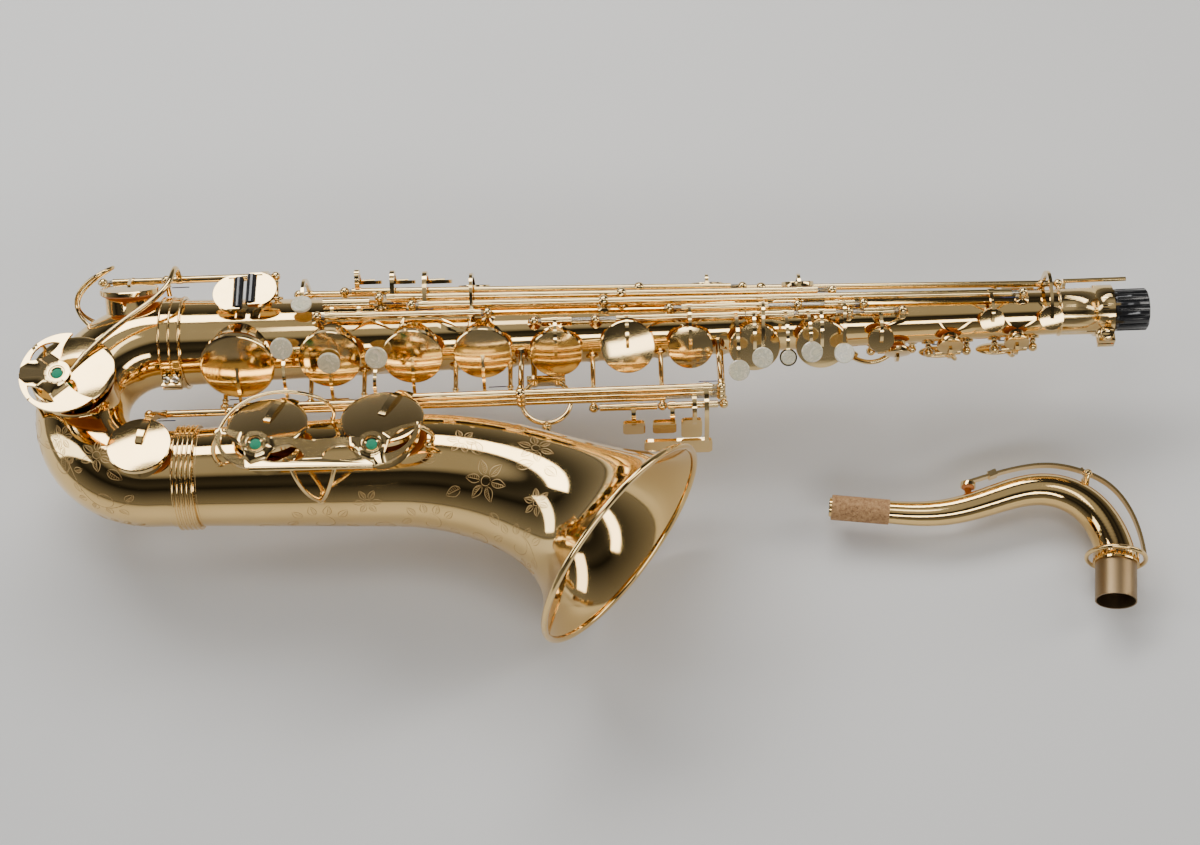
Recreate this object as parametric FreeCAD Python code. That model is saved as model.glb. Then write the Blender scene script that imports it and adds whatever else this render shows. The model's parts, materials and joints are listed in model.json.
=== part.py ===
"""Tenor saxophone with its neck taken off, lying on its left side. Millimetres.

The layout frame has its origin where the body tube meets the bow, on the body tube's axis:
+X runs up the body tube to the neck receiver, +Y is the player's side, and +Z is the
instrument's right side, which faces up. At export everything moves by ROW_SHIFT, so that the
row's origin is the bottom centre of the whole layout.

Angles around the body tube are measured from +Z towards -Y, where the bell is.
"""
import FreeCAD, Part
import math
import os

from FreeCAD import Vector

ROW_SHIFT = Vector(-283.95, 86.5, 78.68)

# Driving sizes of the tubes.
BODY_LENGTH = 607.0
BODY_RADIUS = 29.5
BODY_TAPER = 0.0239
BODY_WALL = 0.9
BOW_BEND = 51.5
BOW_LEAD = 10.0
BOW_END_RADIUS = 32.3
BELL_START = 15.0
BELL_STRAIGHT = 135.0
BELL_BEND = 216.0
BELL_TURN = 41.0
BELL_LAST = 8.5
BELL_WALL = 1.0
BELL_TAPER = 0.0345
FLARE_GROWTH = 34.4
FLARE_REACH = 27.4
RIM_WIRE = 2.3
RECEIVER_END = 636.0
TENON_RADIUS = 13.75
RECEIVER_START = 599.0
RECEIVER_RADIUS = 15.8

# Driving sizes of the keywork.
ROD_RADIUS = 1.5
TUBE_RADIUS = 2.4
RUNNING_GAP = 0.05
END_GAP = 0.15
POST_BALL = 3.2
POST_STEM = 1.7
POST_FOOT = 4.6
CUP_WALL = 0.9
CUP_HEIGHT = 5.0
PAD_HEIGHT = 3.4
PAD_GAP = 0.1
CHIMNEY_WALL = 0.9
PEARL_RADIUS = 7.5
ARM_WIDTH = 2.2

X_AXIS = Vector(1, 0, 0)
Z_AXIS = Vector(0, 0, 1)
BELL_AXIS_Y = -2 * BOW_BEND


def body_radius(x):
    """Outer radius of the body tube at x."""
    return BODY_RADIUS - BODY_TAPER * x


def around(angle_deg):
    """Unit vector square to the body axis, at an angle from +Z towards -Y."""
    turn = math.radians(angle_deg)
    return Vector(0, -math.sin(turn), math.cos(turn))


def on_body(x, reach, angle_deg):
    """Point at distance reach from the body axis."""
    return Vector(x, 0, 0) + around(angle_deg) * reach


def on_bell(x, reach, angle_deg):
    """Point at distance reach from the bell's straight axis."""
    return Vector(x, BELL_AXIS_Y, 0) + around(angle_deg) * reach


def unit(vector):
    """Copy of a vector with length 1."""
    return vector * (1.0 / vector.Length)


def placed(shape, origin, direction):
    """Shape modelled on +Z, moved to origin with +Z turned to direction."""
    moved = shape.copy()
    moved.Placement = FreeCAD.Placement(origin, FreeCAD.Rotation(Z_AXIS, direction))
    return moved


def cylinder(radius, start, end):
    """Solid cylinder between two points."""
    span = end - start
    return Part.makeCylinder(radius, span.Length, start, span)


def cone(radius_a, radius_b, start, end):
    """Solid cone between two points."""
    span = end - start
    return Part.makeCone(radius_a, radius_b, span.Length, start, span)


def ring(outer, inner, start, end):
    """Tube between two points."""
    step = unit(end - start)
    return cylinder(outer, start, end).cut(cylinder(inner, start - step, end + step))


def torus(centre, axis, major, minor):
    """Full torus."""
    return Part.makeTorus(major, minor, centre, axis)


def fused(shapes):
    """One clean shape from several that touch."""
    first = shapes[0]
    if len(shapes) == 1:
        return first
    return first.fuse(shapes[1:]).removeSplitter()


def solids_of(shape):
    """Solids of a shape, leaving out crumbs."""
    return [solid for solid in shape.Solids if solid.Volume > 0.05]


def biggest(shape):
    """Largest solid of a shape."""
    return max(shape.Solids, key=lambda solid: solid.Volume)


def turned(shape, pivot, axis, angle_deg):
    """Copy of a shape turned about an axis through pivot."""
    moved = shape.copy()
    moved.rotate(pivot, axis, angle_deg)
    return moved


def revolved(outline, origin, direction):
    """Solid of revolution from (radius, height) points about +Z, placed at origin."""
    points = [Vector(radius, 0, height) for radius, height in outline]
    face = Part.Face(Part.makePolygon(points + [points[0]]))
    return placed(face.revolve(Vector(0, 0, 0), Z_AXIS, 360), origin, direction)


def bent_bar(points, radius):
    """Round bar along a smooth curve through points."""
    curve = Part.BSplineCurve()
    curve.interpolate(points)
    path = Part.Wire(curve.toShape())
    start = curve.value(curve.FirstParameter)
    along = curve.tangent(curve.FirstParameter)[0]
    profile = Part.Wire(Part.makeCircle(radius, start, along))
    return path.makePipeShell([profile], True, True)


def blade(start, control, end, depth_start, depth_end, width=ARM_WIDTH):
    """Flat key arm of even width, whose depth runs from depth_start to depth_end.

    Its centre line is a quadratic curve in the plane through the three points.
    """
    side = unit((control - start).cross(end - start))
    upper = []
    lower = []
    steps = 6
    for step in range(steps + 1):
        t = step / steps
        middle = start * (1 - t) ** 2 + control * (2 * t * (1 - t)) + end * t**2
        along = unit((control - start) * (1 - t) + (end - control) * t)
        out = along.cross(side) * (0.5 * (depth_start * (1 - t) + depth_end * t))
        upper.append(middle + out)
        lower.append(middle - out)
    edges = []
    for line in (upper, lower):
        curve = Part.BSplineCurve()
        curve.interpolate(line)
        edges.append(curve.toShape())
    edges.append(Part.makeLine(upper[0], lower[0]))
    edges.append(Part.makeLine(upper[-1], lower[-1]))
    face = Part.Face(Part.Wire(Part.__sortEdges__(edges)))
    face.translate(side * (-width / 2))
    return face.extrude(side * width)


# ---------------------------------------------------------------- tubes

def bell_frame(s):
    """Centre point and forward direction of the bell at arc length s from its start."""
    start = Vector(BELL_START, BELL_AXIS_Y, 0)
    bend_length = math.radians(BELL_TURN) * BELL_BEND
    turn = math.radians(BELL_TURN) * min(max((s - BELL_STRAIGHT) / bend_length, 0.0), 1.0)
    centre = start + Vector(min(s, BELL_STRAIGHT), 0, 0)
    centre += Vector(BELL_BEND * math.sin(turn), -BELL_BEND * (1 - math.cos(turn)), 0)
    forward = Vector(math.cos(turn), -math.sin(turn), 0)
    beyond = max(s - BELL_STRAIGHT - bend_length, 0.0)
    return centre + forward * beyond, forward


def bell_length():
    """Arc length of the bell's centre line."""
    return BELL_STRAIGHT + math.radians(BELL_TURN) * BELL_BEND + BELL_LAST


def bell_radius(s):
    """Outer radius of the bell at arc length s: a slow cone with a flare near the rim."""
    flare = FLARE_GROWTH * math.exp((s - bell_length()) / FLARE_REACH)
    return BOW_END_RADIUS + BELL_TAPER * s + flare


def lofted(wires, inner_wires=None):
    """Solid through circles, or the wall between two sets of circles."""
    if inner_wires is None:
        return Part.makeLoft(wires, True, False)
    faces = Part.makeLoft(wires, False, False).Faces + Part.makeLoft(inner_wires, False, False).Faces
    for index in (0, -1):
        faces.append(Part.Face([wires[index], inner_wires[index]]))
    shell = Part.Shell(faces)
    shell.sewShape()
    solid = Part.Solid(shell)
    solid.fix(1e-4, 1e-4, 1e-4)
    if solid.Volume < 0:
        solid.reverse()
    return solid


def bell_wires(inset):
    """Circles along the bell, with their radius reduced by inset."""
    length = bell_length()
    sections = 26
    wires = []
    for section in range(sections + 1):
        s = length * section / sections
        centre, forward = bell_frame(s)
        wires.append(Part.Wire(Part.makeCircle(bell_radius(s) - inset, centre, forward)))
    return wires


def bow_frame(share):
    """Centre point and direction of the bow at a share of its length, from body to bell."""
    lead = BOW_LEAD
    bend = math.pi * BOW_BEND
    tail = BELL_START + BOW_LEAD
    s = share * (lead + bend + tail)
    if s <= lead:
        return Vector(-s, 0, 0), Vector(-1, 0, 0)
    if s <= lead + bend:
        turn = (s - lead) / BOW_BEND
        centre = Vector(-lead - BOW_BEND * math.sin(turn), -BOW_BEND * (1 - math.cos(turn)), 0)
        return centre, Vector(-math.cos(turn), -math.sin(turn), 0)
    return Vector(-lead + s - lead - bend, BELL_AXIS_Y, 0), Vector(1, 0, 0)


def bow_wires(inset):
    """Circles along the U-bend of the bow, with their radius reduced by inset."""
    wires = []
    steps = 16
    for step in range(steps + 1):
        share = step / steps
        centre, forward = bow_frame(share)
        radius = BODY_RADIUS + (BOW_END_RADIUS - BODY_RADIUS) * share - inset
        wires.append(Part.Wire(Part.makeCircle(radius, centre, forward)))
    return wires


def body_solid(inset):
    """Solid cone of the body tube."""
    return cone(body_radius(0) - inset, body_radius(BODY_LENGTH) - inset,
                Vector(0, 0, 0), Vector(BODY_LENGTH, 0, 0))


# ---------------------------------------------------------------- hinge rods and posts

# Clear distance from the body tube's surface to the centre of the rods that run along it.
ROD_STANDOFF = 7.5


def along_body(x, angle_deg, standoff=ROD_STANDOFF):
    """Point beside the body tube, at a standoff from its surface."""
    return on_body(x, body_radius(x) + standoff, angle_deg)


# Each hinge rod: its two end posts' ball centres, then the x of any post between them.
RODS = {
    "rh_stack": (Vector(34, -49.5, -3), Vector(227, -46.5, -3), (92, 128, 190)),
    "lh_stack_front": (along_body(245, 18), along_body(492, 18), (286, 456)),
    "lh_stack_back": (along_body(336, 5), along_body(466, 5), (422,)),
    "high_e": (along_body(163, -8), along_body(574, -8), (292,)),
    "side_c": (along_body(141, -21), along_body(446, -21), (304,)),
    "side_bb": (along_body(117, -34), along_body(386, -34), (316,)),
    "high_f_sharp": (along_body(81, -90), along_body(603, -90), (240, 400)),
    "side_f_sharp": (along_body(100, 5), along_body(214, 5), ()),
    "low_c": (Vector(-7, 38.4, 20), Vector(68, 38.4, 20), ()),
    "low_eb": (Vector(-54, 45.3, 8.1), Vector(50, 45.3, 8.1), ()),
    "low_c_sharp": (Vector(-14, -60, 9.6), Vector(368, -60, 9.6), (40, 235)),
    "low_b": (Vector(76, -60, 15.8), Vector(368, -60, 15.8), (235,)),
    "low_bb": (Vector(152, -60, 22), Vector(368, -60, 22), (235,)),
    "palm_d": (along_body(474, 150), along_body(502, 150), ()),
    "palm_eb": (along_body(512, 125), along_body(538, 125), ()),
    "palm_f": (along_body(557, 125), along_body(583, 125), ()),
    "octave": (along_body(508, -140), along_body(617, -140, 8.0), ()),
    "octave_pip": (along_body(560, -106, 6.5), along_body(592, -106, 6.5), ()),
    "pinky_table": (Vector(283, -62, 1), Vector(370, -62, 1), (329,)),
}
# Rods whose key tube runs on through the posts between its ends.
GUIDED_RODS = ("high_e", "side_c", "side_bb", "high_f_sharp", "low_c_sharp", "low_b", "low_bb")
GUIDE_BALL = 3.9


def rod_axis(rod):
    """Direction of a hinge rod, from its low end to its high end."""
    low, high, _ = RODS[rod]
    return unit(high - low)


def rod_point(rod, x):
    """Point on a hinge rod's centre line at x."""
    low, high, _ = RODS[rod]
    return low + (high - low) * ((x - low.x) / (high.x - low.x))


def post_places():
    """Every post: the rod it carries and its x."""
    places = []
    for rod, (low, high, between) in RODS.items():
        for x in (low.x, *between, high.x):
            places.append((rod, x))
    return places


def hinge_rods():
    """Steel rods, one solid each, with a slotted head at the low end."""
    shapes = []
    for rod, (low, high, _) in RODS.items():
        axis = rod_axis(rod)
        start = low - axis * POST_BALL
        end = high + axis * (POST_BALL - 0.6)
        shape = cylinder(ROD_RADIUS, start, end)
        slot = Part.makeBox(1.2, 0.5, 2 * ROD_RADIUS + 2)
        slot.translate(Vector(-0.6, -0.25, -ROD_RADIUS - 1))
        slot.translate(start)
        shapes.append(biggest(shape.cut(slot)))
    return Part.makeCompound(shapes)


def nearest_tube_axis(point):
    """Foot of the shortest line from a point to the axis of the tube that carries it."""
    to_body = Vector(max(point.x, 0), 0, 0)
    to_bell = Vector(max(point.x, BELL_START), BELL_AXIS_Y, 0)
    if point.x < 200 and (point - to_bell).Length < (point - to_body).Length:
        return to_bell
    return to_body


def is_guide(rod, x):
    """True where a key's tube, not just the rod, passes through the post."""
    low, high, _ = RODS[rod]
    return rod in GUIDED_RODS and low.x < x < high.x


def post(rod, x, hull):
    """Turned post: a ball on a stem with a round foot on the tube."""
    ball = rod_point(rod, x)
    radius = GUIDE_BALL if is_guide(rod, x) else POST_BALL
    root = nearest_tube_axis(ball)
    inward = unit(root - ball)
    surface = body_radius(x) if root.y > BELL_AXIS_Y / 2 else BOW_END_RADIUS
    foot_height = (ball - root).Length - surface
    shape = fused([
        Part.makeSphere(radius, ball),
        cylinder(POST_STEM, ball, root),
        cone(POST_STEM, POST_STEM + 0.8, ball + inward * 3, ball + inward * 5),
        cylinder(POST_FOOT, ball + inward * (foot_height - 1.2), root),
    ])
    shape = shape.cut(hull)
    pieces = [s for s in shape.Solids if s.distToShape(Part.Vertex(ball))[0] < radius]
    return max(pieces, key=lambda solid: solid.Volume)


def post_bore(rod, x):
    """Hole through a post for its rod, or for the key tube it guides."""
    ball = rod_point(rod, x)
    axis = rod_axis(rod)
    radius = (TUBE_RADIUS if is_guide(rod, x) else ROD_RADIUS) + RUNNING_GAP
    return cylinder(radius, ball - axis * 6, ball + axis * 6)


# ---------------------------------------------------------------- keys

def cup_solids(origin, direction, radius, dome=0.07):
    """Brass cup and its leather pad, closed on a tone hole whose rim plane is at origin."""
    lift = PAD_GAP
    crown = radius * dome
    brass_outline = [(0, lift + CUP_HEIGHT - 0.6 + crown)]
    for step in range(1, 7):
        r = radius * 0.97 * step / 6
        brass_outline.append((r, lift + CUP_HEIGHT - 0.6 + crown * (1 - (step / 6) ** 2)))
    brass_outline += [
        (radius, lift + CUP_HEIGHT - 1.2),
        (radius, lift + 1.2),
        (radius - CUP_WALL, lift + 1.2),
        (radius - CUP_WALL, lift + PAD_HEIGHT),
        (0, lift + PAD_HEIGHT),
    ]
    brass = revolved(brass_outline, origin, direction)
    pad_radius = radius - CUP_WALL - 0.05
    pad_outline = [
        (0, lift + PAD_HEIGHT),
        (pad_radius, lift + PAD_HEIGHT),
        (pad_radius, lift + 0.6),
        (pad_radius - 0.7, lift),
        (0, lift),
    ]
    return brass, revolved(pad_outline, origin, direction)


def pearl_solids(centre, normal, radius=PEARL_RADIUS):
    """Brass finger cup and the pearl disc set in it; centre is the pearl's top."""
    holder_outline = [
        (0, -3.6),
        (radius * 0.7, -3.6),
        (radius + 0.9, -1.6),
        (radius + 0.9, -0.2),
        (radius + 0.05, -0.2),
        (radius + 0.05, -2.2),
        (0, -2.2),
    ]
    pearl_outline = [(0, -2.2), (radius, -2.2), (radius, -0.5), (radius - 0.6, 0), (0, 0)]
    holder = revolved(holder_outline, centre, normal)
    return holder, revolved(pearl_outline, centre, normal)


class Key:
    """One key: brass on a hinge tube, with its pads and pearls as separate solids."""

    def __init__(self, rod, low_x, high_x, rest_deg=0.0, travel_deg=10.0):
        self.rod = rod
        self.low_x = low_x
        self.high_x = high_x
        self.rest_deg = rest_deg
        self.travel_deg = travel_deg
        self.opening = 1.0
        self.extras = []
        low = rod_point(rod, low_x)
        high = rod_point(rod, high_x)
        self.brass = [cylinder(TUBE_RADIUS, low, high)]

    def pivot(self):
        """Point on the hinge axis."""
        return rod_point(self.rod, self.low_x)

    def collar(self, x):
        """Thickened stretch of the hinge tube where an arm is brazed on."""
        axis = rod_axis(self.rod)
        centre = rod_point(self.rod, x)
        self.brass.append(cylinder(TUBE_RADIUS + 0.5, centre - axis * 2, centre + axis * 2))

    def arm(self, x, end, bulge, depth_start=4.2, depth_end=2.2, width=ARM_WIDTH):
        """Blade from the hinge tube at x to an end point, bowed out past bulge."""
        start = rod_point(self.rod, x)
        self.brass.append(blade(start, bulge, end, depth_start, depth_end, width))
        self.collar(x)

    def pad_cup(self, origin, direction, diameter, arm_x=None, rise=5.0, bulge=None):
        """Cup on its tone hole, with the arm that carries it."""
        brass, pad = cup_solids(origin, direction, diameter / 2)
        self.extras.append(pad)
        hinge = rod_point(self.rod, origin.x)
        top = origin + direction * (CUP_HEIGHT + 0.9)
        self.opening = 1.0 if rod_axis(self.rod).cross(top - hinge).dot(direction) > 0 else -1.0
        self.brass.append(brass)
        if arm_x is None:
            return
        if bulge is None:
            toward = top - rod_point(self.rod, arm_x)
            sideways = toward - direction * toward.dot(direction)
            bulge = top - unit(sideways) * (diameter / 2 + 2) + direction * rise
        self.arm(arm_x, top, bulge)

    def pearl(self, centre, normal, arm_x, bulge, radius=PEARL_RADIUS, drop=2.2, inset=0.2):
        """Finger pearl on an arm of its own, which meets the holder's side at drop and inset."""
        holder, disc = pearl_solids(centre, normal, radius)
        self.brass.append(holder)
        self.extras.append(disc)
        if arm_x is not None:
            away = bulge - centre
            away = unit(away - normal * away.dot(normal))
            end = centre - normal * drop + away * (radius - inset)
            self.arm(arm_x, end, bulge, 4.0, 2.2)

    def add(self, shape):
        """Further brass."""
        self.brass.append(shape)

    def shape(self):
        """Key at rest, as a compound of its solids."""
        axis = rod_axis(self.rod)
        low = rod_point(self.rod, self.low_x) - axis
        high = rod_point(self.rod, self.high_x) + axis
        brass = fused(self.brass).cut(cylinder(ROD_RADIUS + RUNNING_GAP, low, high))
        for extra in self.extras:
            brass = brass.cut(extra)
        brass = biggest(brass)
        whole = Part.makeCompound([brass] + self.extras)
        return turned(whole, self.pivot(), axis, self.opening * self.rest_deg)

    def joint(self):
        """Hinge pivot, axis and range in degrees, counted from rest."""
        closed = -self.opening * self.rest_deg
        far = self.opening * self.travel_deg
        return self.pivot(), rod_axis(self.rod), sorted((closed, far if not self.rest_deg else 0.0))


# ---------------------------------------------------------------- tone holes

# Holes on the body: x, rim height above the axis, angle, cup diameter.
BODY_HOLES = {
    "rh_d": (46, 33.0, 54, 50.0),
    "rh_e": (108, 32.0, 50, 42.0),
    "rh_f": (163, 30.2, 52, 41.0),
    "f_sharp": (210, 28.7, 52, 38.7),
    "g_sharp": (259, 28.0, 60, 35.4),
    "lh_g": (307, 25.5, 56, 36.4),
    "lh_a": (349, 24.3, 62, 30.6),
    "bis": (392, 23.6, 65, 34.4),
    "lh_b": (437, 22.4, 66, 35.0),
    "lh_c": (477, 20.8, 64, 18.0),
    "side_f_sharp": (203.5, 27.8, -60, 22.0),
    "side_bb": (362, 24.0, -60, 22.0),
    "side_c": (424, 22.5, -60, 22.0),
    "high_e": (552, 19.2, 40, 16.6),
    "high_f_sharp": (592, 18.2, 40, 16.6),
    "palm_d": (490, 21.0, 104, 18.0),
    "palm_eb": (525, 20.2, 88, 18.0),
    "palm_f": (570, 19.2, 88, 17.0),
}
# Holes on the bell: x, rim height above its axis, angle, cup diameter.
BELL_HOLES = {
    "low_b": (72, 37.6, -15, 52.5),
    "low_bb": (147, 40.2, -15, 54.0),
}
LOW_C_SHARP_HOLE = (-12, 35.4, -8, 42.0)
LOW_C_HOLE = (Vector(-58, -47, 34.2), Z_AXIS, 56.0)
LOW_EB_HOLE = (-31, 34.6, -50, 40.0)
PIP_PLACE = (576, -122)
PIP_HEIGHT = 3.0


def hole(name):
    """Rim centre, outward direction and cup diameter of a tone hole."""
    if name in BODY_HOLES:
        x, rim, angle, diameter = BODY_HOLES[name]
        return on_body(x, rim, angle), around(angle), diameter
    if name in BELL_HOLES:
        x, rim, angle, diameter = BELL_HOLES[name]
        return on_bell(x, rim, angle), around(angle), diameter
    if name == "low_c_sharp":
        x, rim, angle, diameter = LOW_C_SHARP_HOLE
        return on_bell(x, rim, angle), around(angle), diameter
    if name == "low_eb":
        x, rim, angle, diameter = LOW_EB_HOLE
        return on_body(x, rim, angle), around(angle), diameter
    return LOW_C_HOLE


def chimney_plug(name, depth=20.0):
    """Solid cylinder the size of a tone hole's chimney."""
    rim, direction, diameter = hole(name)
    return cylinder(diameter / 2 - 3.4, rim - direction * depth, rim)


def with_chimneys(wall, inner, names, depth=20.0):
    """Tube wall with a drawn chimney at each named hole; inner is the space inside the wall."""
    shape = wall
    for name in names:
        rim, direction, diameter = hole(name)
        radius = diameter / 2 - 3.4
        bore = cylinder(radius - CHIMNEY_WALL, rim - direction * depth, rim + direction)
        chimney = chimney_plug(name).cut(inner).cut(bore)
        shape = shape.cut(bore).fuse(biggest(chimney))
    return biggest(shape)


def body_tube():
    """Conical body tube with its row of tone-hole chimneys and the octave pip."""
    inner = body_solid(BODY_WALL)
    pip_x, pip_angle = PIP_PLACE
    pip_top = on_body(pip_x, body_radius(pip_x) + PIP_HEIGHT, pip_angle)
    wall = body_solid(0).fuse(cylinder(2.6, Vector(pip_x, 0, 0), pip_top)).cut(inner)
    shell = with_chimneys(wall, inner, BODY_HOLES)
    return biggest(shell.cut(cylinder(1.2, Vector(pip_x, 0, 0), pip_top + around(pip_angle))))


def bow():
    """U-shaped bow with the low C, C sharp and E flat chimneys."""
    wall = lofted(bow_wires(0), bow_wires(BODY_WALL))
    inner = lofted(bow_wires(BODY_WALL))
    return with_chimneys(wall, inner, ("low_c", "low_c_sharp", "low_eb"))


def bell():
    """Flared bell with a wired rim and the low B and B flat chimneys."""
    length = bell_length()
    wall = lofted(bell_wires(0), bell_wires(BELL_WALL))
    shell = with_chimneys(wall, lofted(bell_wires(BELL_WALL)), BELL_HOLES)
    centre, forward = bell_frame(length)
    wire = torus(centre, forward, bell_radius(length) - 0.6, RIM_WIRE)
    return biggest(shell.fuse(wire))


def ferrule(centre, radius, length, ridges, axis=X_AXIS):
    """Ring soldered round a joint, with turned ridges."""
    half = length / 2
    shape = ring(radius + 1.6, radius + 0.05, centre - axis * half, centre + axis * half)
    for number in range(ridges):
        place = centre + axis * (half * (2 * number / (ridges - 1) - 1) * 0.9)
        shape = shape.fuse(torus(place, axis, radius + 1.5, 0.8))
    return shape.cut(cylinder(radius + 0.05, centre - axis * length, centre + axis * length))


def body_ferrule():
    """Clamp ring that joins body and bow, with its split lug towards the bell."""
    shape = ferrule(Vector(-1, 0, 0), BODY_RADIUS + 0.15, 15, 3)
    lug = Part.makeBox(13, 8, 7, Vector(-7.5, -BODY_RADIUS - 8.6, 3))
    shape = shape.fuse(lug)
    keep_out = cylinder(BODY_RADIUS + 0.2, Vector(-20, 0, 0), Vector(20, 0, 0))
    split = Part.makeBox(40, 9, 1.0, Vector(-20, -BODY_RADIUS - 10, 6))
    shape = shape.cut(keep_out).cut(split)
    for x in (-4.0, 2.0):
        bore = cylinder(1.1, Vector(x, -BODY_RADIUS - 5.4, -8), Vector(x, -BODY_RADIUS - 5.4, 20))
        shape = shape.cut(bore)
    return biggest(shape)


def ferrule_screws():
    """Two slotted clamp screws of the body-to-bow ring."""
    shapes = []
    for x in (-4.0, 2.0):
        foot = Vector(x, -BODY_RADIUS - 5.4, 2.4)
        top = foot + Z_AXIS * 7.8
        screw = cylinder(1.05, foot, top).fuse(cylinder(2.2, top, top + Z_AXIS * 1.6))
        slot = Part.makeBox(5, 0.6, 0.8, top + Vector(-2.5, -0.3, 0.9))
        shapes.append(biggest(screw.cut(slot)))
    return Part.makeCompound(shapes)


def bell_ferrule():
    """Ridged ring over the bow-to-bell joint."""
    radius = BOW_END_RADIUS + 0.35
    return biggest(ferrule(Vector(BELL_START, BELL_AXIS_Y, 0), radius, 14, 5))


def neck_receiver():
    """Socket sleeve at the top of the body tube, with a split clamp band."""
    sleeve_start = RECEIVER_START
    radius = RECEIVER_RADIUS
    band_start = RECEIVER_END - 12
    shape = fused([
        cylinder(radius, Vector(sleeve_start, 0, 0), Vector(RECEIVER_END, 0, 0)),
        cylinder(radius + 1.6, Vector(band_start, 0, 0), Vector(RECEIVER_END, 0, 0)),
        torus(Vector(sleeve_start + 1.2, 0, 0), X_AXIS, radius, 0.7),
        Part.makeBox(11, 12, 8.4, Vector(band_start + 0.5, -radius - 10, -4.2)),
    ])
    bore = cylinder(TENON_RADIUS + 0.05, Vector(0, 0, 0), Vector(RECEIVER_END + 1, 0, 0))
    split = Part.makeBox(30, 30, 1.2, Vector(band_start - 6, -radius - 14, -0.6))
    body_hull = body_solid(0)
    shape = shape.cut(bore).cut(split).cut(body_hull)
    screw = Vector(band_start + 6, -radius - 6, 0)
    hole_bore = cylinder(1.55, screw - Z_AXIS * 9, screw + Z_AXIS * 9)
    return biggest(shape.cut(hole_bore))


# ---------------------------------------------------------------- fittings on the tubes

GUARD_Z = 63.0
GUARD_THICKNESS = 2.2
BUMPER_RADIUS = 8.6
FELT_RADIUS = 5.4
BELL_BUMPERS = (Vector(69, -113, GUARD_Z), Vector(143, -116, GUARD_Z))
C_BUMPER = Vector(-64, -54, 58.0)


def leaf(start, end, bulge_a, bulge_b):
    """Pointed outline between two points, from two arcs through the bulge points."""
    edges = [
        Part.Arc(start, bulge_a, end).toShape(),
        Part.Arc(end, bulge_b, start).toShape(),
    ]
    return Part.Face(Part.Wire(edges))


def bumper_ring(centre, thickness):
    """Raised ring that holds one felt."""
    top = centre + Z_AXIS * (thickness + 1.4)
    return ring(BUMPER_RADIUS, FELT_RADIUS + 0.05, centre - Z_AXIS * 1.2, top)


def bell_key_guard():
    """Openwork guard over the low B and B flat cups, with its struts and feet."""
    left, right = Vector(43, -101, GUARD_Z), Vector(174, -101, GUARD_Z)
    bumper_a, bumper_b = BELL_BUMPERS
    middle = Vector((bumper_a.x + bumper_b.x) / 2, -112, GUARD_Z)
    low_a, low_b = Vector(66, -130, GUARD_Z), Vector(144, -131, GUARD_Z)
    top_a = bumper_a + Vector(0, 4, 0)
    top_b = bumper_b + Vector(0, 4, 0)
    edges = [
        Part.Arc(left, Vector(49, -121, GUARD_Z), low_a).toShape(),
        Part.makeLine(low_a, low_b),
        Part.Arc(low_b, Vector(165, -121, GUARD_Z), right).toShape(),
        Part.Arc(right, Vector(160, -104, GUARD_Z), top_b).toShape(),
        Part.Arc(top_b, Vector(125, -110.5, GUARD_Z), middle).toShape(),
        Part.Arc(middle, Vector(88, -109, GUARD_Z), top_a).toShape(),
        Part.Arc(top_a, Vector(55, -103, GUARD_Z), left).toShape(),
    ]
    plate = Part.Face(Part.Wire(edges))
    windows = [
        leaf(Vector(47, -105, GUARD_Z), Vector(62, -123, GUARD_Z),
             Vector(49, -117, GUARD_Z), Vector(57.5, -110, GUARD_Z)),
        leaf(Vector(152, -123, GUARD_Z), Vector(170, -104, GUARD_Z),
             Vector(164.5, -117, GUARD_Z), Vector(158, -109, GUARD_Z)),
        leaf(Vector(76, -124.5, GUARD_Z), Vector(101, -124.5, GUARD_Z),
             Vector(88.5, -126.5, GUARD_Z), Vector(89, -114.5, GUARD_Z)),
        leaf(Vector(111, -124.5, GUARD_Z), Vector(136, -124.5, GUARD_Z),
             Vector(123.5, -126.5, GUARD_Z), Vector(123, -115.5, GUARD_Z)),
    ]
    for window in windows:
        plate = plate.cut(window)
    shape = plate.extrude(Z_AXIS * GUARD_THICKNESS)
    rim = [low_a + Z_AXIS, low_b + Z_AXIS]
    shape = shape.fuse([
        bumper_ring(bumper_a, GUARD_THICKNESS),
        bumper_ring(bumper_b, GUARD_THICKNESS),
        cylinder(1.6, rim[0], rim[1]),
    ])
    foot = on_bell(106, 41, 52)
    bars = [
        bent_bar([Vector(92, -130, GUARD_Z + 1), Vector(97, -137, 50), foot], 1.4),
        bent_bar([Vector(120, -130, GUARD_Z + 1), Vector(115, -137, 50), foot], 1.4),
        Part.makeSphere(2.8, foot),
        cylinder(1.6, foot, on_bell(106, 20, 52)),
        bent_bar([Vector(171, -103, GUARD_Z + 1), Vector(180, -105, 54), on_bell(177, 41, 3)], 1.5),
        Part.makeSphere(3.4, on_bell(177, 42, 3)),
        cylinder(1.8, on_bell(177, 42, 3), on_bell(177, 20, 3)),
        bent_bar([Vector(46, -104, GUARD_Z + 1), Vector(40, -108, 54), on_bell(40, 37, 12)], 1.5),
        cylinder(1.8, on_bell(40, 38, 12), on_bell(40, 20, 12)),
        bent_bar([Vector(45, -103, GUARD_Z + 1), Vector(56, -86, 65), Vector(82, -75, 63),
                  Vector(110, -76, 50), on_bell(112, 38, -42)], 1.2),
        cylinder(1.6, on_bell(112, 39, -42), on_bell(112, 20, -42)),
    ]
    shape = shape.fuse(bars)
    for bumper in BELL_BUMPERS:
        shape = shape.cut(cylinder(FELT_RADIUS + 0.05, bumper - Z_AXIS * 9, bumper + Z_AXIS * 9))
    return biggest(shape.cut(lofted(bell_wires(0))))


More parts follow.
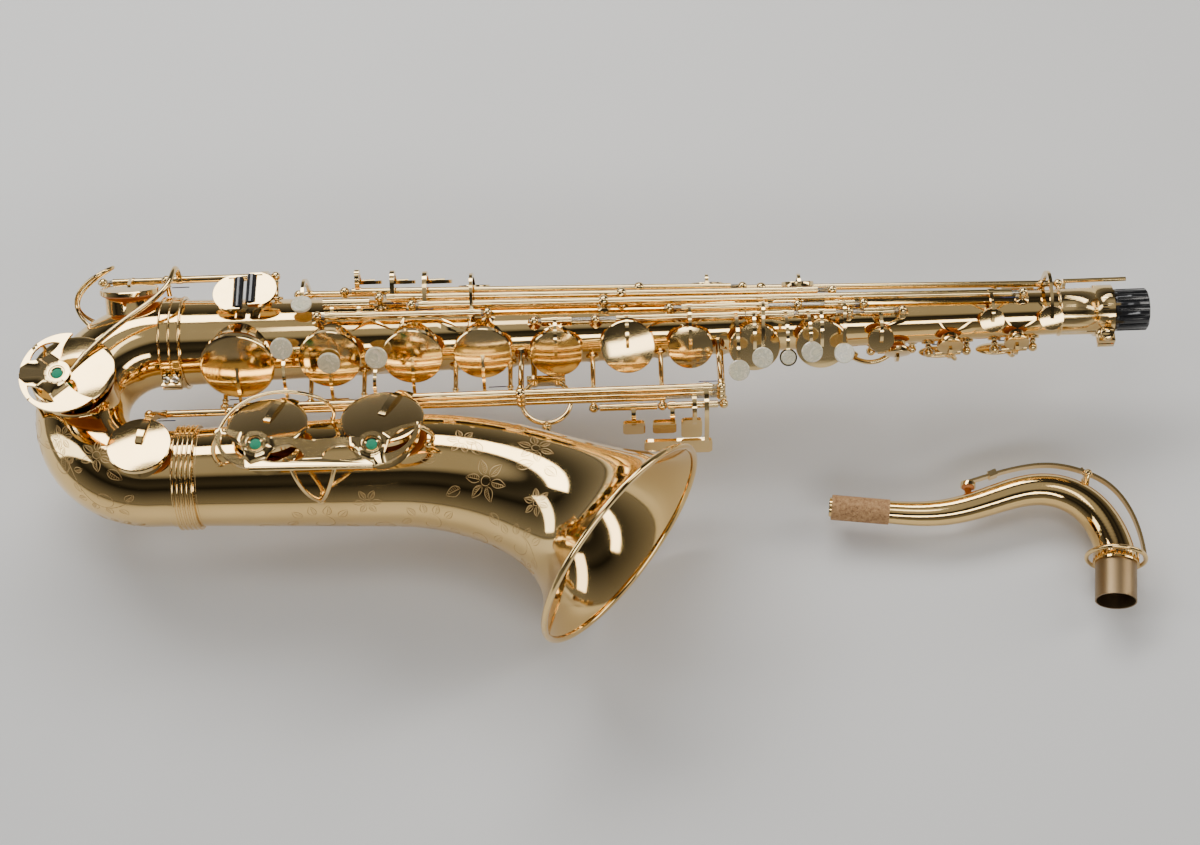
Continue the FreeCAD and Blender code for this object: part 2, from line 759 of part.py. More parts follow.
def low_c_guard():
    """Round guard over the low C cup, cut away where the key arm comes in."""
    centre = Vector(-60, -53, C_BUMPER.z)
    disc = Part.makeCylinder(29, 2.0, centre)
    away = Part.makeCylinder(31, 4.0, Vector(-32, -43, centre.z - 1))
    shape = disc.cut(away)
    windows = []
    for side in (1, -1):
        start = centre + Vector(-23, 9 * side, -1)
        end = centre + Vector(-4, 22 * side, -1)
        outward = centre + Vector(-17, 20 * side, -1)
        inward = centre + Vector(-10, 14 * side, -1)
        windows.append(leaf(start, end, outward, inward).extrude(Z_AXIS * 5))
    shape = shape.cut(windows)
    shape = shape.fuse(bumper_ring(C_BUMPER, 2.0))
    legs = []
    cup, _, diameter = LOW_C_HOLE
    for angle in (138, 180, 222):
        turn = math.radians(angle)
        way = Vector(math.cos(turn), math.sin(turn), 0)
        edge = centre + way * 28 + Z_AXIS
        foot = cup + way * (diameter / 2 + 3.4)
        knee = Vector(foot.x, foot.y, centre.z - 8)
        legs.append(bent_bar([edge, knee, Vector(foot.x, foot.y, 6)], 1.5))
    shape = shape.fuse(legs)
    shape = shape.cut(cylinder(FELT_RADIUS + 0.05, C_BUMPER - Z_AXIS * 9, C_BUMPER + Z_AXIS * 9))
    return biggest(shape.cut(lofted(bow_wires(0))))


def low_eb_guard():
    """Wire guard that reaches over the low E flat cup from the bow."""
    bars = bent_bar([Vector(-54, 2, 18), Vector(-58, 26, 38), Vector(-44, 33, 43),
                     Vector(-40, 39, 38), Vector(-54, 36, 28), Vector(-56, 14, 8)], 1.3)
    return biggest(bars.cut(lofted(bow_wires(0))))


def guard_felts():
    """Green felt bumpers of the three guard cups."""
    shapes = []
    for centre, drop in ((BELL_BUMPERS[0], 5.6), (BELL_BUMPERS[1], 2.6), (C_BUMPER, 2.8)):
        outline = [(0, -drop), (FELT_RADIUS - 0.6, -drop), (FELT_RADIUS, 0.6 - drop),
                   (FELT_RADIUS, 2.0), (0, 2.0)]
        shapes.append(revolved(outline, centre, Z_AXIS))
    return Part.makeCompound(shapes)


def bell_brace():
    """Wire ring that ties the bell to the body tube, with a ball on the bell."""
    x = 251.0
    centre = Vector(x, -52, -6)
    shape = torus(centre, Z_AXIS, 16.5, 1.7)
    ball = centre + Vector(0, -19, 0)
    plate = Vector(x, -40, -6)
    shape = shape.fuse([
        Part.makeSphere(3.4, ball),
        cylinder(2.4, ball, ball + Vector(0, -14, 0)),
        Part.makeBox(26, 3, 10, Vector(x - 13, -37.6, -11)),
        cylinder(2.2, plate + Vector(-8, 0, 0), Vector(x - 8, -16, -6)),
        cylinder(2.2, plate + Vector(8, 0, 0), Vector(x + 8, -16, -6)),
    ])
    return biggest(shape.cut(body_solid(0)).cut(lofted(bell_wires(0))))


STRAP_X = 330.0
STRAP_ANGLE = -170.0


def strap_side():
    """Direction of the strap ring's hole, round the body tube."""
    return X_AXIS.cross(around(STRAP_ANGLE))


def strap_ring():
    """Flat ring on the back of the body tube that takes the neck strap's hook."""
    centre = on_body(STRAP_X, body_radius(STRAP_X) + 11, STRAP_ANGLE)
    side = strap_side()
    shape = ring(8.5, 5.5, centre - side * 1.6, centre + side * 1.6)
    seat = cylinder(7.0, on_body(STRAP_X, 10, STRAP_ANGLE),
                    on_body(STRAP_X, body_radius(STRAP_X) + 1.4, STRAP_ANGLE))
    web = cylinder(2.2, on_body(STRAP_X, 10, STRAP_ANGLE),
                   on_body(STRAP_X, body_radius(STRAP_X) + 4.6, STRAP_ANGLE))
    shape = shape.fuse([seat, web])
    shape = shape.cut(cylinder(5.5, centre - side * 9, centre + side * 9))
    return biggest(shape.cut(body_solid(0)))


def thumb_hook():
    """Right thumb hook with its base plate."""
    x, angle = 170.0, -165.0
    surface = body_radius(x)
    normal = around(angle)
    side = X_AXIS.cross(normal)
    base = cylinder(9.0, on_body(x, 10, angle), on_body(x, surface + 1.6, angle))
    post_top = on_body(x, surface + 6, angle)
    hook = bent_bar([on_body(x, surface - 2, angle), post_top + X_AXIS * 2,
                     post_top + normal * 9 + X_AXIS * 9 + side * 2,
                     post_top + normal * 14 + X_AXIS * 22 + side * 6], 2.6)
    return biggest(base.fuse(hook).cut(body_solid(0)))


def thumb_rest():
    """Left thumb rest, a low dome."""
    x, angle = 486.0, -175.0
    surface = body_radius(x)
    base = cylinder(8.5, on_body(x, 8, angle), on_body(x, surface + 2.0, angle))
    dome = Part.makeSphere(14.0, on_body(x, surface - 9.5, angle))
    shape = base.fuse(dome.common(cylinder(7.6, on_body(x, 8, angle),
                                           on_body(x, surface + 6, angle))))
    return biggest(shape.cut(body_solid(0)))


def needle_springs():
    """Blued needle springs, one beside each post that carries a key."""
    shapes = []
    for rod, (low, high, _) in RODS.items():
        if rod in ("octave_pip", "low_eb"):
            continue
        axis = rod_axis(rod)
        for end, way in ((low, 1), (high, -1)):
            inward = unit(nearest_tube_axis(end) - end)
            start = end + inward * 5.4 + axis * (way * (POST_STEM + 0.95))
            shapes.append(cylinder(0.35, start, start + axis * (way * 12)))
    return Part.makeCompound(shapes)


def key_posts():
    """All the posts that carry the hinge rods."""
    receiver = cylinder(RECEIVER_RADIUS, Vector(RECEIVER_START, 0, 0), Vector(RECEIVER_END, 0, 0))
    clamp_ring = cylinder(BODY_RADIUS + 2.6, Vector(-8.9, 0, 0), Vector(6.9, 0, 0))
    collar = cylinder(RECEIVER_RADIUS + 2.6, Vector(RECEIVER_START - 1, 0, 0), Vector(RECEIVER_START + 4, 0, 0))
    hull = body_solid(0).fuse([receiver, collar, clamp_ring, lofted(bow_wires(0)), lofted(bell_wires(0))])
    names = (*BODY_HOLES, *BELL_HOLES, "low_c", "low_c_sharp", "low_eb")
    plugs = [chimney_plug(name) for name in names]
    posts = [post(rod, x, hull) for rod, x in post_places()]
    joined = posts[0].fuse(posts[1:]).cut(plugs)
    joined = joined.cut([post_bore(rod, x) for rod, x in post_places()])
    return Part.makeCompound([solid for solid in joined.Solids if solid.Volume > 20])


# ---------------------------------------------------------------- keys, one function each kind

def lift_angle(rod, name, lift):
    """Turn in degrees that raises a hole's cup by lift."""
    rim, _, _ = hole(name)
    reach = (rim - rod_point(rod, rim.x)).Length
    return math.degrees(lift / reach)


def stack_key(rod, low_x, high_x, name, lift=4.6, closed=False, bulge=None):
    """Key with one cup over a hole on the body."""
    angle = lift_angle(rod, name, lift)
    key = Key(rod, low_x, high_x, 0.0 if closed else angle, angle)
    rim, direction, diameter = hole(name)
    key.pad_cup(rim, direction, diameter, rim.x, bulge=bulge)
    return key


def rh_d_key():
    key = stack_key("rh_stack", 40, 84, "rh_d")
    key.pearl(Vector(77, -23, 33), around(38), 79, Vector(79, -52, 34), drop=3.0, inset=-0.2)
    return key


def rh_e_key():
    key = stack_key("rh_stack", 98, 118, "rh_e")
    rim, direction, _ = hole("rh_e")
    key.pearl(rim + direction * 10.4, direction, None, None)
    return key


def rh_f_key():
    key = stack_key("rh_stack", 134, 172, "rh_f")
    key.pearl(Vector(140, -31, 31), around(42), 138, Vector(138, -54, 32), drop=3.0, inset=-0.2)
    return key


def f_sharp_key():
    return stack_key("rh_stack", 200, 220, "f_sharp")


def g_sharp_key():
    return stack_key("lh_stack_front", 250, 270, "g_sharp", closed=True)


def lh_g_key():
    key = stack_key("lh_stack_front", 300, 386, "lh_g", 4.2)
    key.pearl(Vector(380, -50, 17), around(45), 380, Vector(380, -38, 44), 7.0)
    return key


def lh_a_key():
    key = stack_key("lh_stack_back", 344, 402, "lh_a", 4.2, bulge=on_body(349, 47, 26))
    key.pearl(Vector(396, -43, 22), around(45), 398, Vector(398, -14, 52), 7.0)
    return key


def bis_key():
    key = stack_key("lh_stack_front", 387, 419, "bis", 4.0)
    key.pearl(Vector(413, -43, 21), around(45), 413, Vector(413, -34, 43), 4.9)
    return key


def lh_b_key():
    key = stack_key("lh_stack_front", 422, 447, "lh_b", 4.0)
    key.pearl(Vector(429, -40, 22), around(45), 428, Vector(428, -32, 43), 7.0)
    return key


def lh_c_key():
    return stack_key("lh_stack_front", 466, 486, "lh_c", 3.6)


def front_f_key():
    key = Key("lh_stack_back", 440, 460, 0.0, 8.0)
    key.opening = 1.0
    key.pearl(Vector(451, -38, 21), around(42), 452, Vector(452, -14, 50), 6.8)
    return key


def paddle(low_x, high_x, reach_over, angle, width=10.0):
    """Long rounded touch plate beside the body, with a raised rib."""
    middle = (low_x + high_x) / 2
    reach = body_radius(middle) + reach_over
    centre = on_body(middle, reach, angle)
    half = (high_x - low_x) / 2 - width / 2
    plate = Part.makeBox(2 * half, width, 2.4, Vector(-half, -width / 2, -2.4))
    ends = [Part.makeCylinder(width / 2, 2.4, Vector(way * half, 0, -2.4)) for way in (-1, 1)]
    shape = plate.fuse(ends)
    rib = Part.makeCylinder(1.0, 2 * half, Vector(-half, 0, 0), X_AXIS)
    shape = shape.fuse(rib)
    shape.rotate(Vector(0, 0, 0), X_AXIS, angle)
    shape.translate(centre)
    return shape, centre


def side_key(rod, name, low_x, high_x, touch_low, touch_high, bulge=None):
    """Trill key: paddle at the low end, small closed cup at the high end."""
    angle = lift_angle(rod, name, 2.8)
    key = Key(rod, low_x, high_x, 0.0, angle)
    rim, direction, diameter = hole(name)
    key.pad_cup(rim, direction, diameter, rim.x, 7.0, bulge)
    shape, centre = paddle(touch_low, touch_high, 11.5, -58)
    key.add(shape)
    bulge = on_body(centre.x, body_radius(centre.x) + 34, -32)
    start_x = touch_low + 4
    inner = Vector(start_x, centre.y, centre.z) - around(-58) * 1.4
    key.arm(start_x, inner, Vector(start_x, bulge.y, bulge.z), 4.0, 2.4, 3.0)
    return key


def side_c_key():
    return side_key("side_c", "side_c", 146, 436, 146, 164, on_body(424, 38, -40))


def side_bb_key():
    return side_key("side_bb", "side_bb", 122, 378, 122, 141)


def high_e_key():
    return side_key("high_e", "high_e", 168, 566, 168, 189)


def side_f_sharp_key():
    """Trill key with a round bar for its touch."""
    angle = lift_angle("side_f_sharp", "side_f_sharp", 3.0)
    key = Key("side_f_sharp", 105, 209.5, 0.0, angle)
    rim, direction, diameter = hole("side_f_sharp")
    key.pad_cup(rim, direction, diameter, rim.x, bulge=on_body(rim.x, 64, -22))
    bar_low = along_body(104, -9, 9.5)
    bar_high = along_body(135, -9, 9.5)
    key.add(cylinder(3.6, bar_low, bar_high))
    for x in (110, 128):
        key.arm(x, along_body(x, -9, 8.0), along_body(x, -2, 10.0), 4.0, 3.0)
    return key


def high_f_sharp_key():
    """Long key from the upper right-hand pearl to the topmost small cup."""
    angle = lift_angle("high_f_sharp", "high_f_sharp", 4.0)
    key = Key("high_f_sharp", 86, 598, 0.0, angle)
    rim, direction, diameter = hole("high_f_sharp")
    key.pad_cup(rim, direction, diameter, 592, bulge=Vector(592, 22, 44))
    key.pearl(Vector(89, 7, 36), around(-12), 89, Vector(89, 36, 36), 7.0)
    return key


def low_key(rod, name, low_x, high_x, arm_x, lift, closed=False, rise=6.0):
    """Large bell or bow key with a tapered, ridged arm."""
    angle = lift_angle(rod, name, lift)
    key = Key(rod, low_x, high_x, 0.0 if closed else angle, angle)
    rim, direction, diameter = hole(name)
    key.pad_cup(rim, direction, diameter)
    top = rim + direction * (CUP_HEIGHT + 1.2)
    start = rod_point(rod, arm_x)
    sideways = (start - top) - direction * (start - top).dot(direction)
    bulge = top + unit(sideways) * (diameter / 2 - 2) + direction * rise
    key.arm(arm_x, top, bulge, 5.0, 2.2, 4.6)
    return key


def pinky_plate(low_x, high_x, low_z, high_z, y=-72.0):
    """Flat touch plate of the left little finger's table."""
    plate = Part.makeBox(high_x - low_x, 2.4, high_z - low_z, Vector(low_x, y, low_z))
    edges = [edge for edge in plate.Edges if abs(edge.tangentAt(0).y) > 0.9]
    return plate.makeFillet(3.0, edges)


def low_bb_key():
    key = low_key("low_bb", "low_bb", 158, 362, 162, 5.5)
    key.add(pinky_plate(316, 362, -36, -22))
    key.arm(358, Vector(358, -71, -24), Vector(358, -78, 16), 4.0, 3.0, 3.0)
    return key


def low_b_key():
    key = low_key("low_b", "low_b", 81, 362, 85, 5.5)
    key.add(pinky_plate(341, 355, -20, 0))
    key.arm(350, Vector(350, -71, -4), Vector(350, -76, 14), 4.0, 3.0, 3.0)
    return key


def low_c_sharp_key():
    return low_key("low_c_sharp", "low_c_sharp", -9, 331, -4, 4.5, closed=True, rise=7.0)


def table_key(low_x, high_x, plate_low, plate_high):
    """Touch of the little finger's table on its own short rod."""
    key = Key("pinky_table", low_x, high_x, 0.0, 8.0)
    key.add(pinky_plate(plate_low, plate_high, -20, -4))
    middle = max((plate_low + plate_high) / 2, low_x + 3)
    key.arm(middle, Vector(middle, -71, -7), Vector(middle, -70, 0), 4.0, 3.0, 3.0)
    return key


def g_sharp_touch():
    return table_key(287, 325.5, 302, 317)


def low_c_sharp_touch():
    return table_key(332.5, 366, 322, 338)


MOON_RADIUS = 13.5
MOON_CENTRE_Y = 17.0
MOON_Z = 33.0
ROLLER_RADIUS = 3.2
ROLLER_PIN = 0.9


def roller_axis(edge_x, way):
    """Two ends of a roller's centre line, beside a half-moon's straight edge."""
    x = edge_x + way * (ROLLER_RADIUS + 0.5)
    half = MOON_RADIUS - 2.2
    z = MOON_Z + 1.8
    return Vector(x, MOON_CENTRE_Y - half, z), Vector(x, MOON_CENTRE_Y + half, z)


def half_moon(edge_x, way):
    """Half-moon touch plate with two ears and a pin for its roller.

    The plate lies on the side of edge_x that way points away from.
    """
    centre = Vector(edge_x, MOON_CENTRE_Y, MOON_Z)
    disc = Part.makeCylinder(MOON_RADIUS, 2.6, centre)
    keep_x = edge_x - MOON_RADIUS if way > 0 else edge_x
    shape = disc.common(Part.makeBox(MOON_RADIUS, 40, 10, Vector(keep_x, -3, MOON_Z - 4)))
    low, high = roller_axis(edge_x, way)
    along = Vector(0, 1, 0)
    shape = shape.fuse(cylinder(ROLLER_PIN, low - along * 1.6, high + along * 1.6))
    for place in (low - along * 1.6, high + along * 0.3):
        ear_x = edge_x - 3.5 if way > 0 else edge_x - ROLLER_RADIUS - 1.8
        ear = Part.makeBox(ROLLER_RADIUS + 5.3, 1.3, 3.4, Vector(ear_x, place.y, MOON_Z))
        shape = shape.fuse(ear)
    return shape


def roller(edge_x, way):
    """Black roller that spins on its half-moon's pin."""
    low, high = roller_axis(edge_x, way)
    return ring(ROLLER_RADIUS, ROLLER_PIN + RUNNING_GAP, low, high)


EB_EDGE_X = 42.5
C_EDGE_X = 58.5


def low_eb_key():
    """Closed key on the bow's back, with the lower half-moon touch."""
    key = Key("low_eb", -47, 45, 0.0, 6.5)
    rim, direction, diameter = hole("low_eb")
    key.pad_cup(rim, direction, diameter, -34, 3.0)
    key.add(half_moon(EB_EDGE_X, 1))
    key.arm(38, Vector(38, 20, 33.6), Vector(38, 29, 7), 4.0, 3.0, 4.0)
    return key


def low_c_key():
    """Open key on the bow's end, with a long bent round arm and the upper touch."""
    angle = lift_angle("low_c", "low_c", 7.5)
    key = Key("low_c", -3.2, 64, angle, angle)
    rim, direction, diameter = hole("low_c")
    key.pad_cup(rim, direction, diameter)
    start = rod_point("low_c", 2)
    top = rim + direction * (CUP_HEIGHT + 1.6)
    key.add(bent_bar([start, Vector(2, 35, 37), Vector(0, 18, 43), Vector(-20, -4, 42.5),
                      Vector(-42, -26, 42), top + Vector(4, 6, 0.4)], 1.9))
    key.add(cone(2.4, 1.0, top + Vector(8, 12, 0.4), top + Vector(-4, -6, 0)))
    key.collar(2)
    key.add(half_moon(C_EDGE_X, -1))
    key.arm(62, Vector(62, 20, 33), Vector(62, 34, 36), 4.2, 3.0, 4.0)
    return key


def palm_key(rod, name, touch_x, touch_angle):
    """Palm key: small closed cup and a long lever to a teardrop touch on the left side."""
    angle = lift_angle(rod, name, 3.0)
    low, high, _ = RODS[rod]
    key = Key(rod, low.x + 4.4, high.x - 4.4, 0.0, angle)
    rim, direction, diameter = hole(name)
    key.pad_cup(rim, direction, diameter, rim.x, 4.0)
    knee = along_body(max(touch_x + 10, rim.x - 12), touch_angle - 14, 14)
    touch = along_body(touch_x, touch_angle, 12)
    key.add(bent_bar([rod_point(rod, rim.x), knee, touch + X_AXIS * 7], 1.7))
    matrix = FreeCAD.Matrix()
    matrix.scale(14.0, 6.5, 2.8)
    plate = Part.makeSphere(1.0).transformGeometry(matrix)
    plate.rotate(Vector(0, 0, 0), X_AXIS, touch_angle)
    plate.translate(touch)
    key.add(plate)
    return key


def palm_d_key():
    return palm_key("palm_d", "palm_d", 452, 158)


def palm_eb_key():
    return palm_key("palm_eb", "palm_eb", 521, 153)


def palm_f_key():
    return palm_key("palm_f", "palm_f", 560, 153)


def octave_thumb_lever():
    """Thumb-operated lever with the pin that stands past the receiver."""
    key = Key("octave", 513, 612, 0.0, 7.0)
    shape, centre = paddle(500, 522, 9.5, -170, 13.0)
    key.add(shape)
    key.arm(517, centre + X_AXIS * 6, along_body(517, -150, 13), 4.0, 3.0, 4.0)
    pin_low = on_body(607, 25.5, -94)
    pin_high = on_body(650, 25.5, -94)
    key.add(cylinder(1.5, pin_low, pin_high))
    key.arm(608, on_body(608, 25.5, -94), on_body(608, 28.0, -118), 4.0, 3.0)
    return key


def octave_pip_key():
    """Small swing key that closes the octave pip."""
    key = Key("octave_pip", 565, 587, 0.0, 9.0)
    x, angle = PIP_PLACE
    rim = on_body(x, body_radius(x) + PIP_HEIGHT, angle)
    brass, pad = cup_solids(rim, around(angle), 4.2)
    key.extras.append(pad)
    key.add(brass)
    return key


# ---------------------------------------------------------------- neck, taken off

NECK_PLACE = Vector(629, -160, -56.5)
NECK_TURN = 7.5
TENON_LENGTH = 26.0
CORK_RADIUS = 8.6
CORK_LENGTH = 39.0
COLLAR_RADIUS = 15.4
# The neck's centre line in its own plane: along the tenon's axis, then across towards the cork.
NECK_LINE = ((-4, 0), (6, 0.8), (18.3, 5), (31.6, 12.9), (43.5, 27.5), (47.8, 48.7),
             (37.8, 80.6), (25.0, 112.5), (21.3, 136.6), (20.9, 153), (20.9, 172), (20.9, 193))
NECK_WIDE = 13.4
NECK_NARROW = 6.6
NECK_PIVOT = (60.0, 20.0)
NECK_PIP = (29.3, 100.0, 43.2)


def neck_point(along, across, lift=0.0):
    """Point in the neck's plane, in the layout frame."""
    turn = math.radians(NECK_TURN)
    tenon = Vector(math.sin(turn), math.cos(turn), 0)
    cork = Vector(-math.cos(turn), math.sin(turn), 0)
    return NECK_PLACE + tenon * along + cork * across + Z_AXIS * lift


def neck_direction():
    """Direction of the tenon's axis, from its open end inwards."""
    return unit(neck_point(1, 0) - neck_point(0, 0))


def neck_wires(inset):
    """Circles along the neck's centre line."""
    line = Part.BSplineCurve()
    line.interpolate([neck_point(*place) for place in NECK_LINE])
    sections = 22
    wires = []
    for section in range(sections + 1):
        share = section / sections
        spot = line.parameterAtDistance(line.length() * share)
        along = neck_direction() if section == 0 else line.tangent(spot)[0]
        radius = NECK_WIDE * (1 - share) + NECK_NARROW * share - inset
        wires.append(Part.Wire(Part.makeCircle(radius, line.value(spot), along)))
    return wires


def neck_tube():
    """Bent tapered tube of the neck, with its collar and octave pip."""
    shape = lofted(neck_wires(0), neck_wires(0.8))
    inner = lofted(neck_wires(0.8))
    collar = cylinder(COLLAR_RADIUS, neck_point(-4, 0), neck_point(3.5, 0)).cut(inner)
    pip_root, pip_across, pip_top = NECK_PIP
    pip = cylinder(2.4, neck_point(pip_root, pip_across), neck_point(pip_top, pip_across))
    shape = shape.fuse([collar, pip.cut(inner)])
    bore = cylinder(1.1, neck_point(pip_root, pip_across), neck_point(pip_top + 1, pip_across))
    return biggest(shape.cut(bore))


def neck_tenon():
    """Bare tenon that slides into the receiver."""
    return ring(TENON_RADIUS, TENON_RADIUS - 0.9, neck_point(-4 - TENON_LENGTH, 0),
                neck_point(-4, 0))


def neck_cork():
    """Cork sleeve for the mouthpiece."""
    end = 193 - 1.5
    sleeve = cylinder(CORK_RADIUS, neck_point(20.9, end - CORK_LENGTH), neck_point(20.9, end))
    return biggest(sleeve.cut(lofted(neck_wires(0))))


def neck_key_posts():
    """Two ears and the steel pin that carry the neck's octave key."""
    shapes = []
    along, across = NECK_PIVOT
    for lift in (6.2, -6.2):
        ball = neck_point(along, across, lift)
        root = neck_point(along - 26, across + 3, lift * 0.4)
        ear = fused([Part.makeSphere(2.8, ball), cylinder(1.8, ball, root)])
        ear = ear.cut(lofted(neck_wires(0)))
        pieces = [s for s in ear.Solids if s.distToShape(Part.Vertex(ball))[0] < 2.8]
        ear = max(pieces, key=lambda solid: solid.Volume)
        shapes.append(ear.cut(cylinder(1.25, ball - Z_AXIS * 6, ball + Z_AXIS * 6)))
    pin = neck_point(along, across)
    shapes.append(cylinder(1.2, pin - Z_AXIS * 9, pin + Z_AXIS * 9))
    return Part.makeCompound(shapes)


def strip(points, normal, thickness, width):
    """Flat strip along a smooth line in the plane square to normal."""
    line = Part.BSplineCurve()
    line.interpolate(points)
    sides = []
    for way in (-1, 1):
        offset = []
        for point in points:
            out = line.tangent(line.parameter(point))[0].cross(normal)
            offset.append(point + unit(out) * (way * thickness / 2) - normal * (width / 2))
        sides.append(offset)
    edges = []
    for side in sides:
        curve = Part.BSplineCurve()
        curve.interpolate(side)
        edges.append(curve.toShape())
    edges.append(Part.makeLine(sides[0][0], sides[1][0]))
    edges.append(Part.makeLine(sides[0][-1], sides[1][-1]))
    face = Part.Face(Part.Wire(Part.__sortEdges__(edges)))
    return face.extrude(normal * width)


def neck_octave_key():
    """Curved key over the neck: a pad cup at one end and a ring round the tenon."""
    _, pip_across, pip_top = NECK_PIP
    rim = neck_point(pip_top, pip_across)
    brass, pad = cup_solids(rim, neck_direction(), 5.2)
    lever = [(pip_top + 5.2, pip_across), (55.5, 84), (63.5, 62), (66.5, 44), (64.5, 26),
             (56, 6), (38, -9), (18, -16.5), (1, -19.5)]
    line = strip([neck_point(*place) for place in lever], Z_AXIS, 1.8, 5.0)
    loop = torus(neck_point(1, 0), neck_direction(), 19.5, 1.5)
    along, across = NECK_PIVOT
    pivot = neck_point(along, across)
    hub = cylinder(2.4, pivot - Z_AXIS * 3.2, pivot + Z_AXIS * 3.2)
    shape = fused([brass, line, loop, hub, cylinder(1.6, pivot, neck_point(66, 24))])
    slider = Part.makeBox(6, 4.4, 6.4, Vector(-3, -2.2, -3.2))
    slider.rotate(Vector(0, 0, 0), Z_AXIS, 20)
    slider.translate(neck_point(55.8, 84))
    shape = shape.fuse(slider)
    shape = shape.cut(cylinder(1.25, pivot - Z_AXIS * 5, pivot + Z_AXIS * 5)).cut(pad)
    return Part.makeCompound([biggest(shape), pad])


# ---------------------------------------------------------------- end plug and clamp screw

def end_plug():
    """Fluted plastic plug that closes the receiver in the case."""
    start = RECEIVER_END + 0.2
    cap = cylinder(14.3, Vector(start, 0, 0), Vector(start + 23, 0, 0))
    cap = cap.fuse(cone(14.3, 13.0, Vector(start + 23, 0, 0), Vector(start + 24, 0, 0)))
    flutes = []
    count = 14
    for number in range(count):
        out = around(360 * number / count) * 15.3
        flutes.append(cylinder(2.0, Vector(start + 3, 0, 0) + out, Vector(start + 26, 0, 0) + out))
    cap = cap.cut(flutes)
    stem = cylinder(TENON_RADIUS - 0.03, Vector(start - 24, 0, 0), Vector(start, 0, 0))
    stem = stem.cut(cylinder(TENON_RADIUS - 2, Vector(start - 25, 0, 0), Vector(start - 3, 0, 0)))
    return biggest(cap.fuse(stem))


CLAMP_X = RECEIVER_END - 6
CLAMP_Y = -(RECEIVER_RADIUS + 6)


def clamp_screw():
    """Thumbscrew through the receiver's lug."""
    centre = Vector(CLAMP_X, CLAMP_Y, 0)
    shaft = cylinder(ROD_RADIUS, centre - Z_AXIS * 6, centre + Z_AXIS * 6)
    head = cylinder(4.6, centre + Z_AXIS * 4.4, centre + Z_AXIS * 8.4)
    notches = []
    count = 16
    for number in range(count):
        turn = math.radians(360 * number / count)
        place = centre + Vector(4.9 * math.cos(turn), 4.9 * math.sin(turn), 3)
        notches.append(cylinder(0.6, place, place + Z_AXIS * 8))
    wing = Part.makeBox(8.4, 1.8, 6, centre + Vector(-4.2, -0.9, 6))
    return biggest(shaft.fuse(head.cut(notches)).fuse(wing))


# ---------------------------------------------------------------- all the nodes

KEYS = (
    low_bb_key, low_b_key, low_c_sharp_key, low_c_key, low_eb_key, rh_d_key, rh_e_key, rh_f_key,
    f_sharp_key, side_f_sharp_key, g_sharp_key, lh_g_key, lh_a_key, bis_key, lh_b_key, lh_c_key,
    front_f_key, side_c_key, side_bb_key, high_e_key, high_f_sharp_key, palm_d_key, palm_eb_key,
    palm_f_key, g_sharp_touch, low_c_sharp_touch, octave_thumb_lever, octave_pip_key,
)
FIXED = (
    body_tube, bow, bell, body_ferrule, ferrule_screws, bell_ferrule, neck_receiver, hinge_rods,
    key_posts, bell_key_guard, low_c_guard, low_eb_guard, guard_felts, bell_brace, strap_ring, thumb_hook,
    thumb_rest, needle_springs, neck_tube, neck_tenon, neck_cork, neck_key_posts,
    neck_octave_key, end_plug, clamp_screw,
)


def nodes():
    """Every node's name and its shape in the layout frame."""
    for make in FIXED:
        yield make.__name__, make()
    for make in KEYS:
        yield make.__name__, make().shape()
    yield "eb_roller", roller(EB_EDGE_X, 1)
    yield "c_roller", turned(roller(C_EDGE_X, -1), *low_c_turn())


def low_c_turn():
    """Pivot, axis and turn that bring a piece of the low C key to its rest pose."""
    key = low_c_key()
    return key.pivot(), rod_axis(key.rod), key.opening * key.rest_deg


def main():
    os.makedirs("parts", exist_ok=True)
    for name, shape in nodes():
        shape.translate(ROW_SHIFT)
        shape.exportStep(os.path.join("parts", name + ".step"))


if __name__ == "__main__":
    main()
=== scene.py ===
"""Looks of a tenor saxophone lying on its left side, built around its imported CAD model."""
import json
import math

import bmesh
import bpy
from mathutils import Matrix, Vector
from mathutils.bvhtree import BVHTree


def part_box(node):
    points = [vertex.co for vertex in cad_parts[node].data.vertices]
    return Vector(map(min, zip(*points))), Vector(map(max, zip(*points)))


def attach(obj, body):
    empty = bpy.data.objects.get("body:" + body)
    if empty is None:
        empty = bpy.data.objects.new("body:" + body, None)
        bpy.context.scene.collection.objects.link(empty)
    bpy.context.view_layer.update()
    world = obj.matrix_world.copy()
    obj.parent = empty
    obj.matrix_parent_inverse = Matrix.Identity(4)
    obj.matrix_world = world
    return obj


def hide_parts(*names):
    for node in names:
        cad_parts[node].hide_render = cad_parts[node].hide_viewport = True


MM = 0.001
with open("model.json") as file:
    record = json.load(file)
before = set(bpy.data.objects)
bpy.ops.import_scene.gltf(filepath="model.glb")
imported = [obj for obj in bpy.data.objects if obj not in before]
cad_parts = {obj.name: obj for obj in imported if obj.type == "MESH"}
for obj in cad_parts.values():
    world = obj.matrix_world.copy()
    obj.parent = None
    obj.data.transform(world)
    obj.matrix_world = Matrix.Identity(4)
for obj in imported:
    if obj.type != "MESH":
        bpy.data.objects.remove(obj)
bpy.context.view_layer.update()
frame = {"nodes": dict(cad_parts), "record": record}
NODES = frame["nodes"]
BODY_OF = {node: body for body, members in frame["record"]["behaviour"]["bodies"].items()
           for node in members}
SLOT_OF = {part["node"]: part["material_slot"] for part in frame["record"]["subparts"]}

# The tubes' axes in the row frame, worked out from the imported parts.
BODY_LOW, BODY_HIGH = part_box("body_tube")
PLUG_LOW, PLUG_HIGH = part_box("end_plug")
BODY_AXIS_Y = (PLUG_LOW.y + PLUG_HIGH.y) / 2
BODY_AXIS_Z = (PLUG_LOW.z + PLUG_HIGH.z) / 2


# ---------------------------------------------------------------- materials

# Numbered sockets of the Mix node when it mixes colours.
COLOUR_A = 6
COLOUR_B = 7
MIXED_COLOUR = 2


